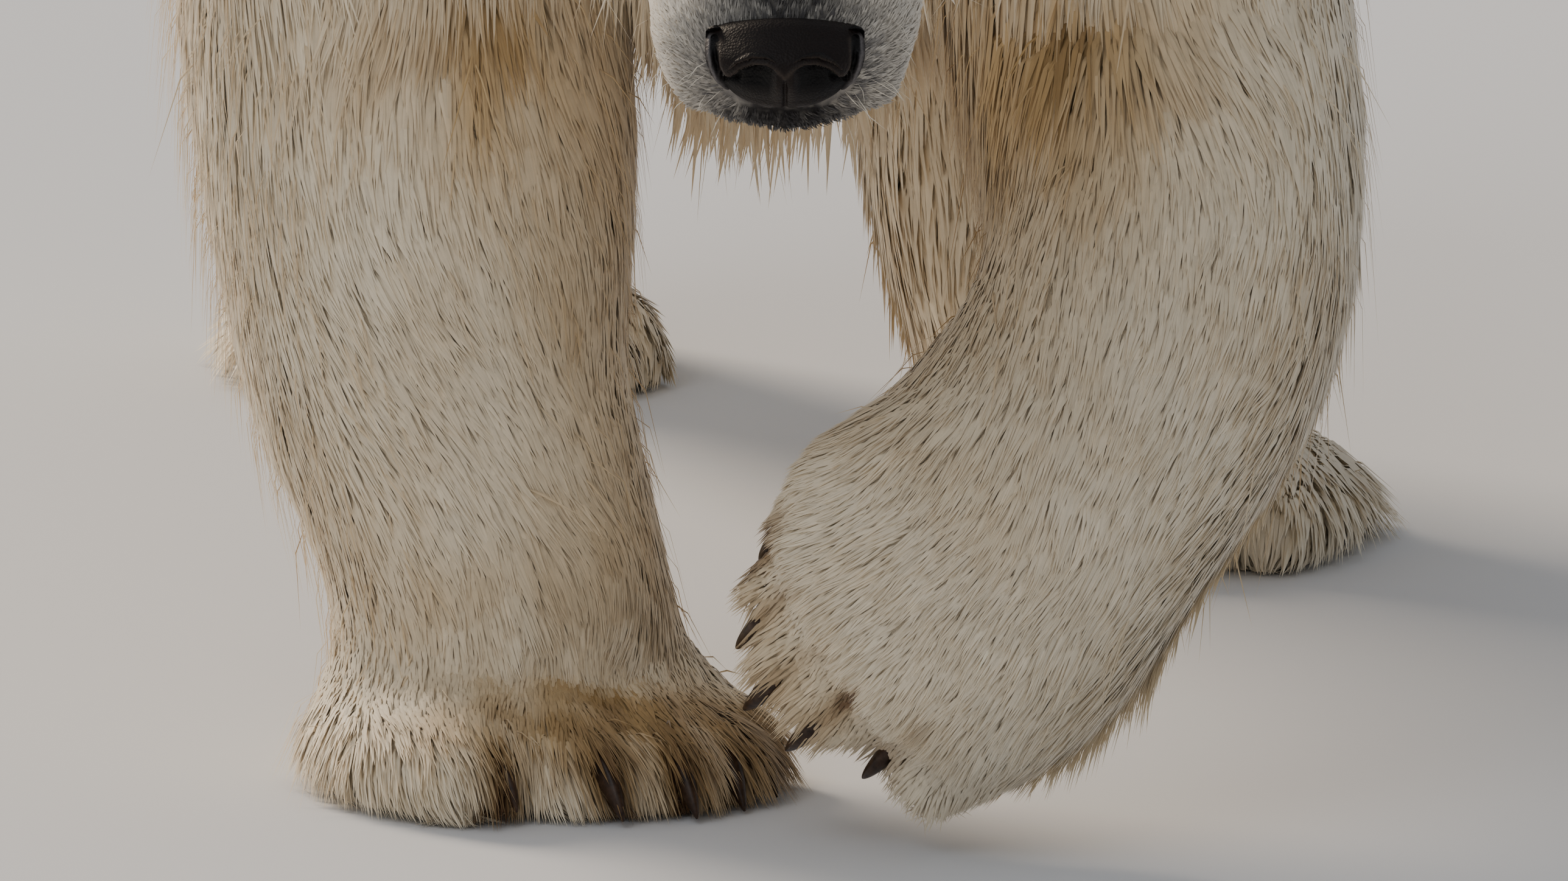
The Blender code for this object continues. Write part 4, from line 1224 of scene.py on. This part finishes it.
def make_nose(material):
    """The bare nose: the pad on top with its waved rim, nostrils that run up the sides as slits, the wings
    outside them, and the groove below."""
    rows, columns = 110, 150
    across, down = np.meshgrid(np.linspace(-1, 1, columns), np.linspace(0, 1, rows))
    points = nose_surface(across.ravel(), down.ravel())
    view = np.array((0, math.sin(NOSE_VIEW), math.cos(NOSE_VIEW)))
    x, up = np.abs(points[:, 0]), points @ view
    rim, wing = line_gap(x, up, PAD_RIM), line_gap(x, up, WING_RIM)
    waved_x, waved_up = np.array(PAD_RIM[:7]).T
    under = np.interp(x, waved_x, waved_up) - up
    inside_wing = np.interp(-up, [-p[1] for p in WING_RIM], [p[0] for p in WING_RIM]) - x
    hole = np.clip(under / 0.002, 0, 1) * np.clip(inside_wing / 0.002, 0, 1)
    below_top = np.clip((0.0290 - up) / 0.004, 0, 1)
    beside = np.clip((x - 0.0362) / 0.001, 0, 1) * np.clip(inside_wing / 0.001, 0, 1) * below_top
    hole = np.maximum(hole, beside)
    septum = np.clip((x - 0.0045) / 0.004, 0, 1)
    low = np.clip((up + 0.0125) / 0.010, 0, 1)
    hole *= septum * low
    comma = hill(x - 0.0185, 0.011) * hill(up - 0.0035, 0.0075)
    slit = hill(line_gap(x, up, SLIT), 0.0016) * below_top
    depth = hole * (0.0022 + 0.0095 * comma) + 0.0045 * slit
    depth -= 0.0009 * hill(rim, 0.0011) + 0.0012 * hill(wing, 0.0013)
    groove = hill(points[:, 0], 0.0013) * np.clip((0.002 - up) / 0.004, 0, 1)
    depth += 0.0025 * groove
    points[:, 1] += depth
    points[:, 2] += depth * 0.25 * (up > 0)
    world = [HEAD @ Vector(point) for point in points]
    nose = lofted("nose_pad", [world[j * columns:(j + 1) * columns] for j in range(rows)], closed=False,
                  caps=(False, False))
    thick = nose.modifiers.new("thick", "SOLIDIFY")
    thick.thickness = 0.004
    thick.offset = -1
    apply_modifiers(nose)
    colours = np.tile(np.array(NOSE_BLACK), (len(points), 1))
    colours = mix(colours, (0.06, 0.045, 0.035), 0.5 * hill(rim, 0.0012))
    colours = mix(colours, (0.14, 0.13, 0.13), 0.8 * hill(wing, 0.0014))
    # painted shade: the nostrils are darker inside
    colours = mix(colours, (0.002, 0.0015, 0.0015), hole)
    paint(nose.data, np.resize(colours, (len(nose.data.vertices), 3)))
    return finish_piece(nose, [material], "nose_skin", "nose")


def make_whiskers(ground, rng, material):
    """Short pale whiskers on the sides of the muzzle, pointing out, ahead and down."""
    head = to_head(ground.middles)
    side = np.abs(head[:, 0])
    one_side = np.stack([side, head[:, 1], head[:, 2]], axis=1)
    where = bump_at(one_side, (0.048, 0.035, -0.012), (0.02, 0.035, 0.018))
    roots, normals, uv, _ = ground.scatter(where * WHISKERS * FULL_COAT, rng)
    keep = ~bare(roots)
    roots, normals, uv = roots[keep], normals[keep], uv[keep]
    coat = coat_measures(roots, normals)
    turn = np.array(HEAD.to_3x3())
    coat["lie"] = np.tile(turn @ np.array((0, -0.25, -0.75)), (len(roots), 1))
    coat["lie"][:, 0] += 0.5 * np.sign(roots[:, 0])
    coat["length"] = rng.uniform(0.008, 0.024, len(roots))
    coat["lift"] = coat["length"] * 0.75
    coat["width"] = np.full(len(roots), 0.0005)
    part = shape_tufts(roots, normals, uv, coat, rng, loose=1.0)
    part["colours"] = np.tile(np.array((0.75, 0.68, 0.55)), (len(roots), 1))
    whiskers = tuft_mesh("whiskers", part, np.ones(len(roots), bool))
    return finish_piece(whiskers, [material], "head_coat")


def make_pads(tree, paw, material):
    """The black pads of a lifted paw, set into its palm."""
    spots = [(base - paw.forward * 0.020, 0.015, 0.013) for _, base, _ in paw.claws]
    palm = paw.ankle + (paw.toes - paw.ankle) * 0.62
    spots.append((palm, 0.052, 0.022))
    spots.append((paw.ankle + (paw.toes - paw.ankle) * 0.18 + paw.left * paw.side * 0.03, 0.018, 0.016))
    for number, (place, wide, tall) in enumerate(spots, 1):
        hit, normal, _, _ = tree.ray_cast(place - paw.up * 0.30, paw.up, 0.6)
        if hit is None:
            continue
        across = (paw.left - paw.left.dot(normal) * normal).normalized()
        turn = Matrix((across, normal.cross(across), normal)).transposed().to_4x4()
        shape = Matrix.Translation(hit) @ turn @ Matrix.Diagonal((wide, tall, 0.007, 1))
        finish_piece(ball(f"pad_{paw.leg}_{number}", shape, 28, 16), [material], "nose_skin")


# ---- stage ---------------------------------------------------------------------------------------
def make_stage():
    """A pale floor, a pale sky, a broad warm sun from behind and a faint one from the front."""
    form = bmesh.new()
    bmesh.ops.create_grid(form, x_segments=1, y_segments=1, size=400)
    floor = link("floor", mesh_of(form, "floor"))
    material, _, _ = new_material("floor", (0.80, 0.81, 0.83), 0.9)
    floor.data.materials.append(material)
    world = bpy.data.worlds.new("studio")
    bpy.context.scene.world = world
    world.use_nodes = True
    back = world.node_tree.nodes["Background"]
    back.inputs["Color"].default_value = (0.86, 0.90, 0.96, 1)
    back.inputs["Strength"].default_value = 0.40
    for name, energy, colour, spread, (pitch, turn) in (
        ("back_light", 3.2, (1.0, 0.84, 0.66), 20, (-62, 40)),
        ("front_light", 0.5, (0.95, 0.97, 1.0), 40, (42, -30)),
    ):
        light = bpy.data.lights.new(name, "SUN")
        light.energy = energy
        light.color = colour
        light.angle = math.radians(spread)
        link(name, light).rotation_euler = (math.radians(pitch), 0, math.radians(turn))


def make_camera():
    """A long lens, low down in front of the planted forepaw."""
    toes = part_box("fore_right_paw")[0].y + 0.0103
    upward = Vector((0, math.sin(CAMERA_RISE), math.cos(CAMERA_RISE)))
    back = Vector((0, -math.cos(CAMERA_RISE), math.sin(CAMERA_RISE)))
    data = bpy.data.cameras.new("camera")
    data.sensor_width = 36
    data.lens = 36 * CAMERA_DISTANCE / VIEW_WIDTH
    data.clip_end = 500
    camera = link("camera", data)
    camera.location = Vector((0, toes, 0)) + upward * VIEW_MIDDLE + back * CAMERA_DISTANCE
    camera.rotation_euler = (math.pi / 2 - CAMERA_RISE, 0, 0)
    bpy.context.scene.camera = camera


# ---- all of it -----------------------------------------------------------------------------------
def main():
    rng = np.random.default_rng(SEED)
    skin = make_skin()
    sculpt_face(skin)
    unwrap(skin)
    points, normals = vertex_arrays(skin.data)
    kinds = coat_measures(points, normals)["kinds"]
    paint(skin.data, markings(points, normals, kinds))
    finish_piece(skin, [skin_material()], "body_coat", *flesh_nodes())

    hair = hair_material()
    ground = Ground(skin.data)
    fur, wisps = grow_fur(ground, rng), grow_wisps(ground, rng)
    coat = {key: np.concatenate([fur[key], wisps[key]]) for key in fur}
    names = np.array(BONE_NAMES)[coat["bone"]]
    for piece, slot, bones, side in coat_groups():
        chosen = np.isin(names, bones)
        if side:
            chosen &= (coat["roots"][:, 0] * side > 0) | (names != "trunk")
        obj = tuft_mesh(piece, coat, chosen)
        obj.data.materials.append(hair)
        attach(obj, "root")

    eyeball = [
        eye_material("eye_white", (0.05, 0.035, 0.03)),
        eye_material("eye_iris", (0.035, 0.016, 0.007)),
        eye_material("eye_pupil", (0.002, 0.002, 0.002)),
    ]
    lid_skin = leather_material("nose_skin", BLACK_SKIN, 0.38, 900.0, 0.0006)
    for word in SIDES:
        make_eye(word, eyeball, lid_skin)
    make_nose(nose_material())
    make_whiskers(ground, rng, hair)
    horn = horn_material()
    for paw in PAWS.values():
        for name, base, tip in paw.claws:
            make_claw(name, base, tip, paw.up, horn)
    tree = BVHTree.FromObject(skin, bpy.context.evaluated_depsgraph_get())
    pad_skin = leather_material("pad_skin", (0.02, 0.017, 0.016), 0.6, 500.0, 0.0012)
    make_pads(tree, PAWS["fore_left"], pad_skin)
    make_stage()
    make_camera()


main()
